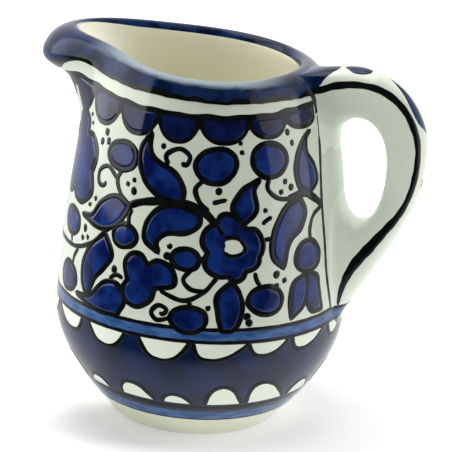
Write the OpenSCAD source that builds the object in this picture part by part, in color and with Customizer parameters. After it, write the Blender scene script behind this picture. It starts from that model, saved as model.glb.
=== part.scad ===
// Glazed milk jug: round belly, low foot, pinched spout on -X and a looped handle on +X.
// Millimetres, +Z up, origin on the jug's axis in the plane that the foot stands on.

/* [Foot and base] */
// Radius where the foot runs into the belly
foot_r = 27.5; // [24:0.5:31]
// Height of the foot ring
foot_h = 2.3; // [1.5:0.1:4]
// How far the standing edge is drawn in from the foot radius
foot_inset = 1.5; // [0.5:0.1:3]
// Width of the foot ring
foot_w = 7; // [5:0.5:10]
// Radius of the rounded edges of the foot ring
foot_edge = 0.8; // [0.3:0.1:1]
// Thickness of the base
base_t = 4.4; // [3:0.1:7]

/* [Body wall] */
// Outer radius of the belly at its widest
belly_r = 44; // [40:0.5:50]
// Height of the widest place
belly_z = 31.7; // [26:0.1:40]
// Roundness of the curve from the foot to the belly
belly_round = 1.66; // [1.4:0.01:2.2]
// Outer radius of the neck
neck_r = 37; // [34:0.5:39]
// How late the curve turns from the belly to the neck
neck_ease = 1.1; // [0.9:0.05:1.3]
// Thickness of the clay wall
wall_t = 3.9; // [3.5:0.1:6]
// Height where the thrown belly ends and the collar with the spout begins
shoulder_z = 80; // [74:0.5:86]

/* [Rim and spout] */
// Radius of the rim's crest along the jug, before the spout is pulled out
rim_r = 29; // [27:0.1:31]
// How much wider the mouth is across than along the jug
rim_swell = 5; // [3:0.1:6]
// Lowest height of the rim's crest
rim_z = 109; // [106:0.2:112]
// Rise of the rim towards the spout
spout_rise = 6.2; // [3:0.2:10]
// Rise of the rim towards the handle
back_rise = 0.8; // [0:0.2:3]
// How far the spout is pulled out of the rim
spout_reach = 14.5; // [9:0.1:17]
// Half angle over which the spout is pulled out
spout_angle = 30; // [20:0.5:34]
// How late the wall turns towards the rim
spout_flare = 2.2; // [1.8:0.1:2.6]
// How much later it turns outwards under the spout's beak
beak_flare = 2.2; // [0:0.1:3]
// Half thickness of the rounded lip
lip_half = 2.4; // [1.8:0.1:3]
// Height of the lip's rounding
lip_h = 2.8; // [2:0.1:4]
// Extra thickness of the lip at the spout's beak
beak_w = 7.4; // [4:0.1:9]
// Extra height of the lip's rounding at the spout's beak
beak_h = 8.2; // [4:0.1:10]
// How far the lip grows inwards at the handle
back_lip = 2.4; // [0:0.1:4]
// Half angle over which the lip grows at the handle
back_angle = 58; // [40:1:65]

/* [Handle] */
// How far below the lip's rounding the spine leaves the wall
spine_drop = 0.2; // [0.2:0.1:2]
// Rise of the spine's arch above the place where it leaves the wall
arch_rise = 11; // [6:0.5:13]
// Reach of the spine from the wall
handle_reach = 27.2; // [23:0.2:34]
// Depth below its start at which the spine reaches furthest
reach_drop = 19; // [16:0.2:25]
// Height where the spine runs out on the belly
spine_foot_z = 37.5; // [30:0.5:40]
// Thickness of the handle at its furthest reach
handle_t = 10.5; // [7:0.1:12]
// Width of the handle
handle_w = 12.4; // [9:0.2:15]
// Width of the handle where it is pressed onto the wall
root_w = 16; // [13:0.2:20]
// Height of the upper root on the wall
upper_root_h = 16.8; // [14:0.2:22]
// Height of the lower root on the wall
lower_root_h = 38; // [34:0.5:42]
// Rise of the finger gap's crown above the upper root
gap_crown = 11; // [8:0.5:13]
// Drop of the finger gap's sole below the lower root
gap_sole = 13; // [9:0.5:15]
// Thickness of the slip that joins the handle to the wall
slip_t = 0.6; // [0.4:0.1:1]

/* [Glaze] */
// Thickness of the glaze that lines the inside
glaze_t = 0.5; // [0.3:0.1:0.8]

/* [Hidden] */
$fn = 96;

// Colours of the clay, the glazes and the slip
white_glaze = "#e9ece4";
cream_glaze = "#ded9bf";
bare_clay = "#e4dcc8";
slip_white = "#e2e2da";

// Columns round the jug, rows up the collar, rows over the lip, steps up the base, the bowl and the
// shoulder, points round the handle and its stations
wall_columns = 60;
wall_rows = 11;
lip_rows = 8;
base_steps = 3;
bowl_steps = 8;
shoulder_steps = 8;
handle_sides = 20;
handle_steps = 16;
root_rings = 3;

// Heights and radii that follow from the sizes above
base_top = foot_h + base_t;
foot_in_r = foot_r - foot_w;
stand_r = foot_r - foot_inset;
spout_dir = 180;
// Exponents of the mouth's swell and of the rim's rise to the spout and to the handle, and squareness
// of the handle's section
swell_power = 4;
spout_spread = 2;
back_spread = 6;
section_power = 0.75;
// Exponent of the handle's spread towards its roots
root_spread = 4;

// Curves
function ease(v) = v * v * (3 - 2 * v);
function mix(a, b, t) = a + (b - a) * t;
function bezier(p, t) = pow(1 - t, 3) * p[0] + 3 * t * pow(1 - t, 2) * p[1]
    + 3 * t * t * (1 - t) * p[2] + pow(t, 3) * p[3];
function signed_power(v, e) = sign(v) * pow(abs(v), e);

// Outer radius of the thrown wall at a height
function wall_r(z) = z < belly_z
    ? belly_r - (belly_r - foot_r) * pow(max(0, (belly_z - z) / (belly_z - foot_h)), belly_round)
    : mix(belly_r, neck_r, ease(pow(min(1, (z - belly_z) / (rim_z - belly_z)), neck_ease)));

// Rim, by the angle round the axis: pull of the spout, nearness to the handle, crest radius and crest height
function pull(a) = exp(-pow((abs(a) - spout_dir) / spout_angle, 2));
function back(a) = exp(-pow(a / back_angle, 2));
function crest_r(a) = rim_r + rim_swell * pow(sin(a), swell_power) + spout_reach * pull(a)
    - back_lip * back(a);
function crest_z(a) = rim_z + spout_rise * pow((1 - cos(a)) / 2, spout_spread)
    + back_rise * pow((1 + cos(a)) / 2, back_spread);
function lip_out(a) = lip_half + beak_w * pull(a) + back_lip * back(a);
function lip_drop(a) = lip_h + beak_h * pull(a);

// Collar wall between the shoulder (s = 0) and the lip (s = 1)
function collar_base(s) = wall_r(mix(shoulder_z, rim_z, s));
function flare(a, s) = pow(s, spout_flare + beak_flare * pull(a));
function collar_r(a, s) = collar_base(s)
    + (crest_r(a) + lip_out(a) - collar_base(1)) * flare(a, s);
function collar_z(a, s) = mix(shoulder_z, crest_z(a) - lip_drop(a), s);
function bore_r(a, s) = collar_base(s) - wall_t
    + (crest_r(a) - lip_half - collar_base(1) + wall_t) * flare(a, s);
function bore_z(a, s) = mix(shoulder_z, crest_z(a) - lip_h, s);

// Outer radius anywhere on the jug
function outer_r(a, z) = z < shoulder_z ? wall_r(z)
    : collar_r(a, min(1, (z - shoulder_z) / (crest_z(a) - lip_drop(a) - shoulder_z)));

// Point of the wall under the handle, in the plane y = 0
function wall_at(z) = [outer_r(0, z), z];

function round_point(r, a, z) = [r * cos(a), r * sin(a), z];
// Columns run from -180 to 180 degrees, so that the spout's pull is the same on both sides of it
function column_angle(j) = -spout_dir + 360 * j / wall_columns;

// Faces between two rings of n points that start at index a and at index b
function band(a, b, n) = [for (j = [0 : n - 1]) let (k = (j + 1) % n)
    each [[a + j, b + j, b + k], [a + j, b + k, a + k]]];

// Solid through rings of points that closes on itself, such as a collar
module closed_loop(rings) {
    n = len(rings[0]);
    m = len(rings);
    polyhedron(points = [for (r = rings) each r],
        faces = [for (i = [0 : m - 1]) each band(i * n, ((i + 1) % m) * n, n)]);
}

// Solid through rings of points from one end point to another, such as a bar
module capped_loft(start, rings, end) {
    n = len(rings[0]);
    m = len(rings);
    last = 1 + (m - 1) * n;
    polyhedron(points = [start, each [for (r = rings) each r], end],
        faces = concat(
            [for (j = [0 : n - 1]) [0, 1 + j, 1 + (j + 1) % n]],
            [for (i = [0 : m - 2]) each band(1 + i * n, 1 + (i + 1) * n, n)],
            [for (j = [0 : n - 1]) [last + n, last + (j + 1) % n, last + j]]));
}

// Foot ring, with its standing face and rounded edges
module foot_ring() {
    color(bare_clay) rotate_extrude() polygon([
        [foot_in_r, foot_h],
        [foot_in_r, foot_edge],
        [foot_in_r + foot_edge, 0],
        [stand_r - foot_edge, 0],
        [stand_r, foot_edge],
        [foot_r, foot_h]]);
}

// Heights of the rings up the base, up the bowl and up the shoulder
function levels(low, high, steps) = [for (i = [0 : steps]) mix(low, high, i / steps)];
base_levels = levels(foot_h, base_top, base_steps);
bowl_levels = levels(base_top, belly_z, bowl_steps);
shoulder_levels = levels(belly_z, shoulder_z, shoulder_steps);
function reversed(list) = [for (i = [len(list) - 1 : -1 : 0]) list[i]];
function outside(heights) = [for (z = heights) [wall_r(z), z]];
function inside(heights) = [for (z = reversed(heights)) [wall_r(z) - wall_t, z]];

// Base, seated on the foot ring, with the slope of the wall at its edge
module base_floor() {
    color(white_glaze) rotate_extrude()
        polygon(concat([[0, base_top], [0, foot_h]], outside(base_levels)));
}

// Thrown wall from the base to the widest place
module belly_bowl() {
    color(white_glaze) rotate_extrude() polygon(concat(outside(bowl_levels), inside(bowl_levels)));
}

// Thrown wall from the widest place to the shoulder
module shoulder_wall() {
    color(white_glaze) rotate_extrude()
        polygon(concat(outside(shoulder_levels), inside(shoulder_levels)));
}

// Rings of the collar: up the outside, over the lip and down the bore
function collar_rings() = concat(
    [for (i = [0 : wall_rows]) let (s = i / wall_rows)
        [for (j = [0 : wall_columns - 1]) let (a = column_angle(j))
            round_point(collar_r(a, s), a, collar_z(a, s))]],
    [for (i = [1 : lip_rows - 1]) let (b = 180 * i / lip_rows)
        [for (j = [0 : wall_columns - 1]) let (a = column_angle(j))
            b < 90
                ? round_point(crest_r(a) + lip_out(a) * cos(b), a,
                    crest_z(a) - lip_drop(a) * (1 - sin(b)))
                : round_point(crest_r(a) + lip_half * cos(b), a,
                    crest_z(a) - lip_h * (1 - sin(b)))]],
    bore_rings(0));
// Rings down the bore of the collar, drawn in by a coat of the given thickness
function bore_rings(coat) = [for (i = [wall_rows : -1 : 0]) let (s = i / wall_rows)
    [for (j = [0 : wall_columns - 1]) let (a = column_angle(j))
        round_point(bore_r(a, s) - coat, a, bore_z(a, s))]];

// Collar with the rim and the spout pulled out of it
module neck_and_spout() {
    color(white_glaze) closed_loop(collar_rings());
}

// Rings down the inside of the belly below the shoulder, drawn in by a coat
belly_levels = concat(bowl_levels, [for (i = [1 : shoulder_steps - 1]) shoulder_levels[i]]);
function belly_rings(coat) = [for (z = reversed(belly_levels)) let (r = wall_r(z) - wall_t - coat)
    [for (j = [0 : wall_columns - 1]) round_point(r, column_angle(j), max(z, base_top + coat))]];

// Cream glaze that lines the floor, the belly and the bore
module inner_glaze() {
    against_clay = concat(bore_rings(0), belly_rings(0));
    facing_in = concat(bore_rings(glaze_t), belly_rings(glaze_t));
    color(cream_glaze) capped_loft([0, 0, base_top], concat(reversed(against_clay), facing_in),
        [0, 0, base_top + glaze_t]);
}

// Handle curves in the plane y = 0: the spine outside and the finger gap inside, in two spans each
spine_top_z = crest_z(0) - lip_drop(0) - spine_drop;
reach_z = spine_top_z - reach_drop;
gap_top_z = spine_top_z - upper_root_h;
gap_foot_z = spine_foot_z + lower_root_h;
spine_x = outer_r(0, reach_z) + handle_reach;
gap_x = spine_x - handle_t;
gap_z = (gap_top_z + gap_foot_z) / 2;
spine_start = wall_at(spine_top_z);
spine_end = wall_at(spine_foot_z);
gap_start = wall_at(gap_top_z);
gap_end = wall_at(gap_foot_z);
// Lengths of the curves' handles, as shares of the reach or of the drop that they turn through
arch_share = 0.62;
crook_share = 0.86;
sweep_share = 0.34;
tail_share = [0.61, 0.435];
corner_share = 0.12;
upper_spine = [spine_start, [mix(spine_start[0], spine_x, arch_share), spine_top_z + arch_rise],
    [spine_x, reach_z + crook_share * reach_drop], [spine_x, reach_z]];
lower_spine = [[spine_x, reach_z], [spine_x, mix(reach_z, spine_foot_z, sweep_share)],
    [mix(spine_end[0], spine_x, tail_share[0]), mix(spine_foot_z, reach_z, tail_share[1])], spine_end];
upper_gap = [gap_start, [mix(gap_start[0], gap_x, corner_share), gap_top_z + gap_crown],
    [gap_x, gap_top_z + gap_crown], [gap_x, gap_z]];
lower_gap = [[gap_x, gap_z], [gap_x, gap_foot_z - gap_sole],
    [mix(gap_end[0], gap_x, corner_share), gap_foot_z - gap_sole], gap_end];

// Spine and gap points of the handle, t from 0 at the rim to 2 on the belly
function spine_at(t) = t < 1 ? bezier(upper_spine, t) : bezier(lower_spine, t - 1);
function gap_at(t) = t < 1 ? bezier(upper_gap, t) : bezier(lower_gap, t - 1);
// Half width of the handle, spreading towards both roots
function half_width(t) = mix(handle_w, root_w, pow(abs(t - 1), root_spread)) / 2;

// Rounded section of the handle across its two curves, shrunk by a share k
function section(t, k) = let (o = spine_at(t), i = gap_at(t), c = (o + i) / 2, h = (o - i) / 2)
    [for (j = [0 : handle_sides - 1]) let (b = 360 * j / handle_sides,
            u = k * signed_power(cos(b), section_power), v = k * signed_power(sin(b), section_power))
        [c[0] + h[0] * u, half_width(t) * v, c[1] + h[1] * u]];

// The same section laid on the wall at a distance from it, for the roots
function on_wall(p, gap) = let (r = outer_r(atan2(p[1], p[0]), p[2]) + gap)
    [sqrt(r * r - p[1] * p[1]), p[1], p[2]];
function root(t, k, gap) = [for (p = section(t, k)) on_wall(p, gap)];
function root_centre(t, gap) = on_wall(root_middle(t), gap);
function root_middle(t) = let (c = (spine_at(t) + gap_at(t)) / 2) [c[0], 0, c[1]];
function shares(from, to) = [for (i = [from : sign(to - from) : to]) i / root_rings];

// Looped handle between its two slip joints
module handle() {
    color(white_glaze) capped_loft(root_centre(0, slip_t), concat(
        [for (k = shares(1, root_rings)) root(0, k, slip_t)],
        [for (i = [1 : 2 * handle_steps - 1]) section(i / handle_steps, 1)],
        [for (k = shares(root_rings, 1)) root(2, k, slip_t)]), root_centre(2, slip_t));
}

// Pad of slip between a root of the handle and the wall
module slip_joint(t) {
    color(slip_white) capped_loft(root_centre(t, 0), concat(
        [for (k = shares(1, root_rings)) root(t, k, 0)],
        [for (k = shares(root_rings, 1)) root(t, k, slip_t)]), root_centre(t, slip_t));
}

module upper_slip_joint() {
    slip_joint(0);
}

// The lower root has its spine below the gap, so its rings run the other way round
module lower_slip_joint() {
    mirror([0, 1, 0]) slip_joint(2);
}

foot_ring();
base_floor();
belly_bowl();
shoulder_wall();
neck_and_spout();
handle();
upper_slip_joint();
lower_slip_joint();
inner_glaze();
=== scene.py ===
"""Looks of a hand-painted milk jug, dressed around its solids.

The clay carries glaze, raised blue puddles and black brush lines. Sizes are in millimetres until a mesh is
made, and a place on the wall is an angle round the axis in degrees and a height.
"""

import logging
import math
from dataclasses import dataclass
from enum import Enum
from typing import Any, Iterable, Sequence

import bpy
import numpy as np
from mathutils import Matrix, Vector
from mathutils.geometry import delaunay_2d_cdt


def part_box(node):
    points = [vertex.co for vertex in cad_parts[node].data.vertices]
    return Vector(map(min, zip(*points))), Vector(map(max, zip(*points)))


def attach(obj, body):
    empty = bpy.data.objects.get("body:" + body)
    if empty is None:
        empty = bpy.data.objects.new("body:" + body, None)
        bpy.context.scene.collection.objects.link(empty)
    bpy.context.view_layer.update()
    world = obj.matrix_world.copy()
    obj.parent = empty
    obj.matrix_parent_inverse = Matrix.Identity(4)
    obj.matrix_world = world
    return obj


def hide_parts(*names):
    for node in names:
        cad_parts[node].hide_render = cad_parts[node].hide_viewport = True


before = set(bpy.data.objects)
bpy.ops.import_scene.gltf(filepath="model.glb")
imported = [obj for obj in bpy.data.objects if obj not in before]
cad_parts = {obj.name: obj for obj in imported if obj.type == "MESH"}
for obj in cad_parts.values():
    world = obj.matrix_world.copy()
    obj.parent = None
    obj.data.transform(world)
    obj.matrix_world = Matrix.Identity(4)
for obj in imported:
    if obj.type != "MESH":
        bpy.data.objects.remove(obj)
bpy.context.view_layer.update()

LOG = logging.getLogger("milk_jug")
MM = 0.001
BODY = "root"

SPAN_STEPS = 24
STROKE_STEP = 0.5
DRIFT_A, DRIFT_Z = 0.9, 0.4
DRIFT_WAVES = (0.11, 0.05, 0.07)
DRIFT_START = 0.9
KEEP_INSIDE, WELD = 1, 1e-5
MIX_SHARE, MIX_FIRST, MIX_SECOND, MIX_RESULT = 0, 6, 7, 2

Point = tuple[float, float]
Triple = tuple[float, float, float]
Colour = tuple[float, float, float, float]
Run = Sequence[Point]
Runs = Sequence[Run]


class Slot(Enum):
    """Material slots of the record."""

    WHITE = "white_glaze"
    CREAM = "cream_glaze"
    BLUE = "cobalt_blue"
    BLACK = "black_line"
    CLAY = "bare_clay"


class Side(Enum):
    """The painted side of the jug: near is drawn, and far repeats it as a mirror image."""

    NEAR = 1.0
    FAR = -1.0

    def place(self, points: Run) -> list[Point]:
        """Puts drawn points on this side, with the small drift that a second drawing has.

        Args:
            points: angle and height pairs as drawn on the near side.

        Returns:
            The pairs on this side.
        """
        if self is Side.NEAR:
            return list(points)
        by_z, by_a, along = DRIFT_WAVES
        return [
            (-a + DRIFT_A * math.sin(by_z * z + by_a * a), z + DRIFT_Z * math.sin(along * a + DRIFT_START))
            for a, z in points
        ]


# Curves and numbers


def ease(v: np.ndarray) -> np.ndarray:
    """Smooth step from 0 to 1."""
    return v * v * (3 - 2 * v)


def mix(a: Any, b: Any, t: Any) -> Any:
    """Value between a and b at share t."""
    return a + (b - a) * t


def bezier(corners: Sequence[Point], t: np.ndarray) -> np.ndarray:
    """Points of a cubic curve.

    Args:
        corners: its four control points.
        t: shares along it.

    Returns:
        One point per share.
    """
    p = np.array(corners, float)
    t = np.asarray(t, float)[..., None]
    return (1 - t) ** 3 * p[0] + 3 * t * (1 - t) ** 2 * p[1] + 3 * t * t * (1 - t) * p[2] + t**3 * p[3]


def unit(v: np.ndarray) -> np.ndarray:
    """Vectors scaled to length one."""
    return v / np.maximum(np.linalg.norm(v, axis=-1, keepdims=True), 1e-12)


def flowing(points: np.ndarray, step: float, closed: bool = False) -> np.ndarray:
    """Smooth curve through points, sampled at an even step.

    Args:
        points: the points that the curve goes through, in millimetres.
        step: distance between samples.
        closed: whether the curve runs back to its first point.

    Returns:
        The samples. A closed curve doesn't repeat its first one.
    """
    p = np.asarray(points, float)
    if closed:
        p = np.vstack([p[-1], p, p[0], p[1]])
    else:
        p = np.vstack([2 * p[0] - p[1], p, 2 * p[-1] - p[-2]])
    knots = np.concatenate([[0], np.cumsum(np.sqrt(np.linalg.norm(np.diff(p, axis=0), axis=1)) + 1e-9)])
    fine = []
    for i in range(1, len(p) - 2):
        t = np.linspace(knots[i], knots[i + 1], SPAN_STEPS, endpoint=False)[:, None]
        k = knots[i - 1 : i + 3]
        a = [((k[j + 1] - t) * p[i - 1 + j] + (t - k[j]) * p[i + j]) / (k[j + 1] - k[j]) for j in range(3)]
        b = [((k[j + 2] - t) * a[j] + (t - k[j]) * a[j + 1]) / (k[j + 2] - k[j]) for j in range(2)]
        fine.append(((k[2] - t) * b[0] + (t - k[1]) * b[1]) / (k[2] - k[1]))
    fine.append(p[-2:-1])
    line = np.vstack(fine)
    length = np.concatenate([[0], np.cumsum(np.linalg.norm(np.diff(line, axis=0), axis=1))])
    count = max(3, round(length[-1] / step))
    marks = np.linspace(0, length[-1], count + 1)
    line = np.stack([np.interp(marks, length, line[:, c]) for c in range(2)], -1)
    return line[:-1] if closed else line


def look_up(table: np.ndarray, row: np.ndarray, column: np.ndarray) -> np.ndarray:
    """Values of a table between its rows and columns.

    Args:
        table: values or vectors by row and column.
        row: row numbers, whole or broken.
        column: column numbers, which run on round the table.

    Returns:
        One value or vector per place.
    """
    rows, columns = table.shape[:2]
    i = np.clip(np.floor(row).astype(int), 0, rows - 2)
    j = np.floor(column).astype(int)
    more = (1,) * (table.ndim - 2)
    g, f = (x.reshape(x.shape + more) for x in (row - i, column - j))
    j0, j1 = j % columns, (j + 1) % columns
    return mix(mix(table[i, j0], table[i, j1], f), mix(table[i + 1, j0], table[i + 1, j1], f), g)


# The jug's form


@dataclass(frozen=True)
class JugForm:
    """Sizes of the thrown body, and the formulas of its wall, rim and spout."""

    foot_r: float
    foot_h: float
    base_top: float
    belly_z: float
    belly_r: float
    shoulder_z: float
    foot_inset: float = 1.5
    foot_w: float = 7.0
    belly_round: float = 1.66
    neck_r: float = 37.0
    neck_ease: float = 1.1
    wall_t: float = 3.9
    rim_r: float = 29.0
    rim_swell: float = 5.0
    rim_z: float = 109.0
    spout_rise: float = 6.2
    back_rise: float = 0.8
    spout_reach: float = 14.5
    spout_angle: float = 30.0
    spout_flare: float = 2.2
    beak_flare: float = 2.2
    beak_shelf: float = 0.5
    shelf_flare: float = 20.0
    lip_half: float = 2.4
    lip_h: float = 2.8
    beak_w: float = 8.2
    beak_h: float = 9.7
    back_lip: float = 2.4
    back_angle: float = 58.0
    strip_t: float = 1.4
    strip_angle: float = 10.6
    strip_z: Point = (66.0, 100.0)
    strip_fade: float = 8.0
    spout_spread: int = 2
    back_spread: int = 6

    @classmethod
    def from_frame(cls) -> "JugForm":
        """Takes the radii and heights that the boxes of the solids give."""
        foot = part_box("foot_ring")[1] / MM
        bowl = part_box("belly_bowl")[1] / MM
        return cls(
            foot_r=foot.x,
            foot_h=foot.z,
            base_top=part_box("base_floor")[1].z / MM,
            belly_z=bowl.z,
            belly_r=bowl.x,
            shoulder_z=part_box("shoulder_wall")[1].z / MM,
        )

    def wall(self, z: Any) -> np.ndarray:
        """Outer radius of the thrown wall at a height."""
        z = np.asarray(z, float)
        low = np.clip((self.belly_z - z) / (self.belly_z - self.foot_h), 0, 1) ** self.belly_round
        high = np.clip((z - self.belly_z) / (self.rim_z - self.belly_z), 0, 1) ** self.neck_ease
        below = mix(self.belly_r, self.foot_r, low)
        return np.where(z < self.belly_z, below, mix(self.belly_r, self.neck_r, ease(high)))

    def pull(self, a: np.ndarray) -> np.ndarray:
        """Share of the spout's pull at an angle between -180 and 180."""
        return np.exp(-(((np.abs(a) - 180) / self.spout_angle) ** 2))

    def back(self, a: np.ndarray) -> np.ndarray:
        """Nearness of an angle to the handle."""
        return np.exp(-((a / self.back_angle) ** 2))

    def flare(self, a: np.ndarray) -> np.ndarray:
        """How late the inside turns towards the rim at an angle."""
        return self.spout_flare + self.beak_flare * self.pull(a)

    def turn_out(self, a: np.ndarray, s: float) -> np.ndarray:
        """How far the outside has turned to the rim along the collar, with a shelf under the beak."""
        return mix(s**self.spout_flare, s**self.shelf_flare, self.beak_shelf * self.pull(a))

    def crest(self, a: np.ndarray) -> tuple[np.ndarray, np.ndarray]:
        """Radius and height of the rim's crest at an angle."""
        c = np.cos(np.radians(a))
        r = self.rim_r + self.rim_swell * (1 - c * c) ** 2 + self.spout_reach * self.pull(a)
        r = r - self.back_lip * self.back(a)
        front, rear = ((1 - c) / 2) ** self.spout_spread, ((1 + c) / 2) ** self.back_spread
        return r, self.rim_z + self.spout_rise * front + self.back_rise * rear

    def strip(self, a: np.ndarray, z: np.ndarray) -> np.ndarray:
        """Thickness of the clay that joins the handle's two roots along the wall."""
        low, high = self.strip_z
        from_low, from_high = (np.clip(d / self.strip_fade, 0, 1) for d in (z - low, high - z))
        along = ease(from_low) * ease(from_high)
        return self.strip_t * along * np.exp(-((a / self.strip_angle) ** 4))

    def lip(self, a: np.ndarray) -> tuple[np.ndarray, np.ndarray]:
        """Half width and height of the lip's outer rounding at an angle."""
        pull = self.pull(a)
        half = self.lip_half + self.beak_w * pull + self.back_lip * self.back(a)
        return half, self.lip_h + self.beak_h * pull


class Surface:
    """A curved face that paint is laid on: a grid of points and normals, and two coordinates on it."""

    points: np.ndarray
    normals: np.ndarray
    steps = (0.25, 0.25)

    def at(self, u: np.ndarray, v: np.ndarray) -> tuple[np.ndarray, np.ndarray]:
        """Points and outward normals at two coordinates."""
        raise NotImplementedError

    def pick(self, row: np.ndarray, column: np.ndarray) -> tuple[np.ndarray, np.ndarray]:
        """Points and outward normals between the grid's rows and columns."""
        return look_up(self.points, row, column), unit(look_up(self.normals, row, column))

    def tangents(self, u: np.ndarray, v: np.ndarray) -> tuple[np.ndarray, np.ndarray]:
        """Change of the point for one unit of each coordinate."""
        du, dv = self.steps
        along = (self.at(u + du, v)[0] - self.at(u - du, v)[0]) / (2 * du)
        across = (self.at(u, v + dv)[0] - self.at(u, v - dv)[0]) / (2 * dv)
        return along, across

    def scale(self, points: np.ndarray) -> np.ndarray:
        """Millimetres per unit of each coordinate, at the middle of some points."""
        u, v = (np.array([c]) for c in (points.min(0) + points.max(0)) / 2)
        return np.array([np.linalg.norm(t[0]) for t in self.tangents(u, v)])

    def path(self, run: Run, step: float = STROKE_STEP) -> np.ndarray:
        """Coordinates along a smooth open line through some points."""
        drawn = np.array(run)
        scale = self.scale(drawn)
        return flowing(drawn * scale, step) / scale

    def loop(self, runs: Runs, closed: bool = False) -> tuple[np.ndarray, np.ndarray]:
        """Closed outline of runs of points that meet at corners.

        Args:
            runs: the runs, in order.
            closed: whether the outline is one run without a corner.

        Returns:
            Flat points in millimetres, and the millimetres per unit of each coordinate.
        """
        drawn = [np.array(run) for run in runs]
        scale = self.scale(np.vstack(drawn))
        if closed:
            return flowing(drawn[0] * scale, STROKE_STEP, True), scale
        return np.vstack([flowing(run * scale, STROKE_STEP)[:-1] for run in drawn]), scale


class JugSkin(Surface):
    """The whole clay skin as rings of points: under the foot, up the outside, over the lip and down inside.

    A softening has two marks with the rings before the first and after the second, and a number of passes.
    """

    columns = 360
    table_step = 0.25
    recess_rows, foot_rows, wall_rows, collar_rows = 10, 5, 130, 44
    lip_rows, inner_lip_rows, bore_rows, inner_rows, floor_rows = 15, 13, 40, 80, 28
    softenings = (
        ("recess", 3, "foot", 6, 4),
        ("collar", 10, "crest", 10, 7),
        ("bore", 8, "bore", 12, 14),
        ("corner", 14, "corner", 14, 60),
    )
    room_rows = (20, 16)
    room_past_bore = 8

    def __init__(self, form: JugForm, paint_room: float = 0.22) -> None:
        """Works out the rings.

        Args:
            form: the jug's sizes.
            paint_room: how far the outside is drawn in, so that paint on it ends at the size of the solids.
        """
        self.form = form
        self.angles = np.linspace(-180, 180, self.columns, endpoint=False)
        self.marks: dict[str, int] = {}
        self._rings()
        self._soften()
        self._solve(paint_room)
        self._index_heights()

    def _rings(self) -> None:
        """Radius and height of each ring, before softening."""
        f, a = self.form, self.angles
        crest_r, crest_z = f.crest(a)
        lip_out, lip_drop = f.lip(a)
        neck = float(f.wall(f.rim_z))
        foot_in, stand = f.foot_r - f.foot_w, f.foot_r - f.foot_inset
        rings: list[tuple[Any, Any]] = []

        def mark(name: str) -> None:
            """Notes the number of the last ring."""
            self.marks[name] = len(rings) - 1

        rings += [(r, f.foot_h) for r in np.linspace(0, foot_in, self.recess_rows)]
        mark("recess")
        rings += [(foot_in, z) for z in np.linspace(f.foot_h, 0, self.foot_rows)[1:]]
        rings += [(r, 0.0) for r in np.linspace(foot_in, stand, self.recess_rows)[1:]]
        share = np.linspace(0, 1, self.foot_rows)[1:]
        rings += [(mix(stand, f.foot_r, s), mix(0, f.foot_h, s)) for s in share]
        mark("foot")
        rings += [(f.wall(z), z) for z in np.linspace(f.foot_h, f.shoulder_z, self.wall_rows)[1:]]
        mark("shoulder")
        for s in np.linspace(0, 1, self.collar_rows)[1:]:
            base = f.wall(mix(f.shoulder_z, f.rim_z, s))
            flare = (crest_r + lip_out - neck) * f.turn_out(a, s)
            rings.append((base + flare, mix(f.shoulder_z, crest_z - lip_drop, s)))
        mark("collar")
        for b in np.linspace(0, math.pi / 2, self.lip_rows)[1:]:
            rings.append((crest_r + lip_out * math.cos(b), crest_z - lip_drop * (1 - math.sin(b))))
        mark("crest")
        for b in np.linspace(math.pi / 2, math.pi, self.inner_lip_rows)[1:]:
            rings.append((crest_r + f.lip_half * math.cos(b), crest_z - f.lip_h * (1 - math.sin(b))))
        mark("bore")
        for s in np.linspace(1, 0, self.bore_rows)[1:]:
            base = f.wall(mix(f.shoulder_z, f.rim_z, s)) - f.wall_t
            flare = (crest_r - f.lip_half - neck + f.wall_t) * s ** f.flare(a)
            rings.append((base + flare, mix(f.shoulder_z, crest_z - f.lip_h, s)))
        inner_z = np.linspace(f.shoulder_z, f.base_top, self.inner_rows)[1:]
        rings += [(f.wall(z) - f.wall_t, z) for z in inner_z]
        mark("corner")
        floor_r = float(f.wall(f.base_top)) - f.wall_t
        rings += [(r, f.base_top) for r in np.linspace(floor_r, 0, self.floor_rows)[1:]]
        self.r = np.array([np.broadcast_to(r, a.shape) for r, _ in rings], float)
        self.z = np.array([np.broadcast_to(z, a.shape) for _, z in rings], float)
        outside = slice(self.marks["foot"], self.marks["collar"])
        self.r[outside] += f.strip(a, self.z[outside])

    def _soften(self) -> None:
        """Rounds the foot's edges, the joint of collar and lip and the corner of the floor."""
        for first, before, last, after, passes in self.softenings:
            span = slice(self.marks[first] - before, self.marks[last] + after + 1)
            for part in (self.r[span], self.z[span]):
                for _ in range(passes):
                    part[1:-1] = (part[:-2] + 2 * part[1:-1] + part[2:]) / 4

    def _normals(self, points: np.ndarray) -> np.ndarray:
        """Outward normals of a grid of rings."""
        around = np.roll(points, -1, axis=1) - np.roll(points, 1, axis=1)
        n = np.cross(around, np.gradient(points, axis=0))
        n[0], n[-1] = (0, 0, -1), (0, 0, 1)
        return unit(n)

    def _solve(self, paint_room: float) -> None:
        """Points and normals of the rings, with the outside drawn in."""
        t = np.radians(self.angles)
        points = np.stack([self.r * np.cos(t), self.r * np.sin(t), self.z], -1)
        row = np.arange(len(points))
        fade_in = np.clip((row - self.marks["foot"]) / self.room_rows[0], 0, 1)
        fade_out = np.clip((self.marks["bore"] + self.room_past_bore - row) / self.room_rows[1], 0, 1)
        room = paint_room * ease(np.minimum(fade_in, fade_out))
        self.points = points - self._normals(points) * room[:, None, None]
        self.normals = self._normals(self.points)

    def _index_heights(self) -> None:
        """Table that gives the ring at each height of the outside."""
        low, high = self.marks["foot"], self.marks["crest"]
        z = self.points[low : high + 1, :, 2]
        self.heights = np.arange(z.min(), z.max(), self.table_step)
        rows = np.arange(low, high + 1)
        found = [np.interp(self.heights, z[:, j], rows) for j in range(self.columns)]
        self.row_table = np.stack(found, -1)

    def column_of(self, a: np.ndarray) -> np.ndarray:
        """Column number at an angle."""
        return (a + 180) / 360 * self.columns

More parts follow.
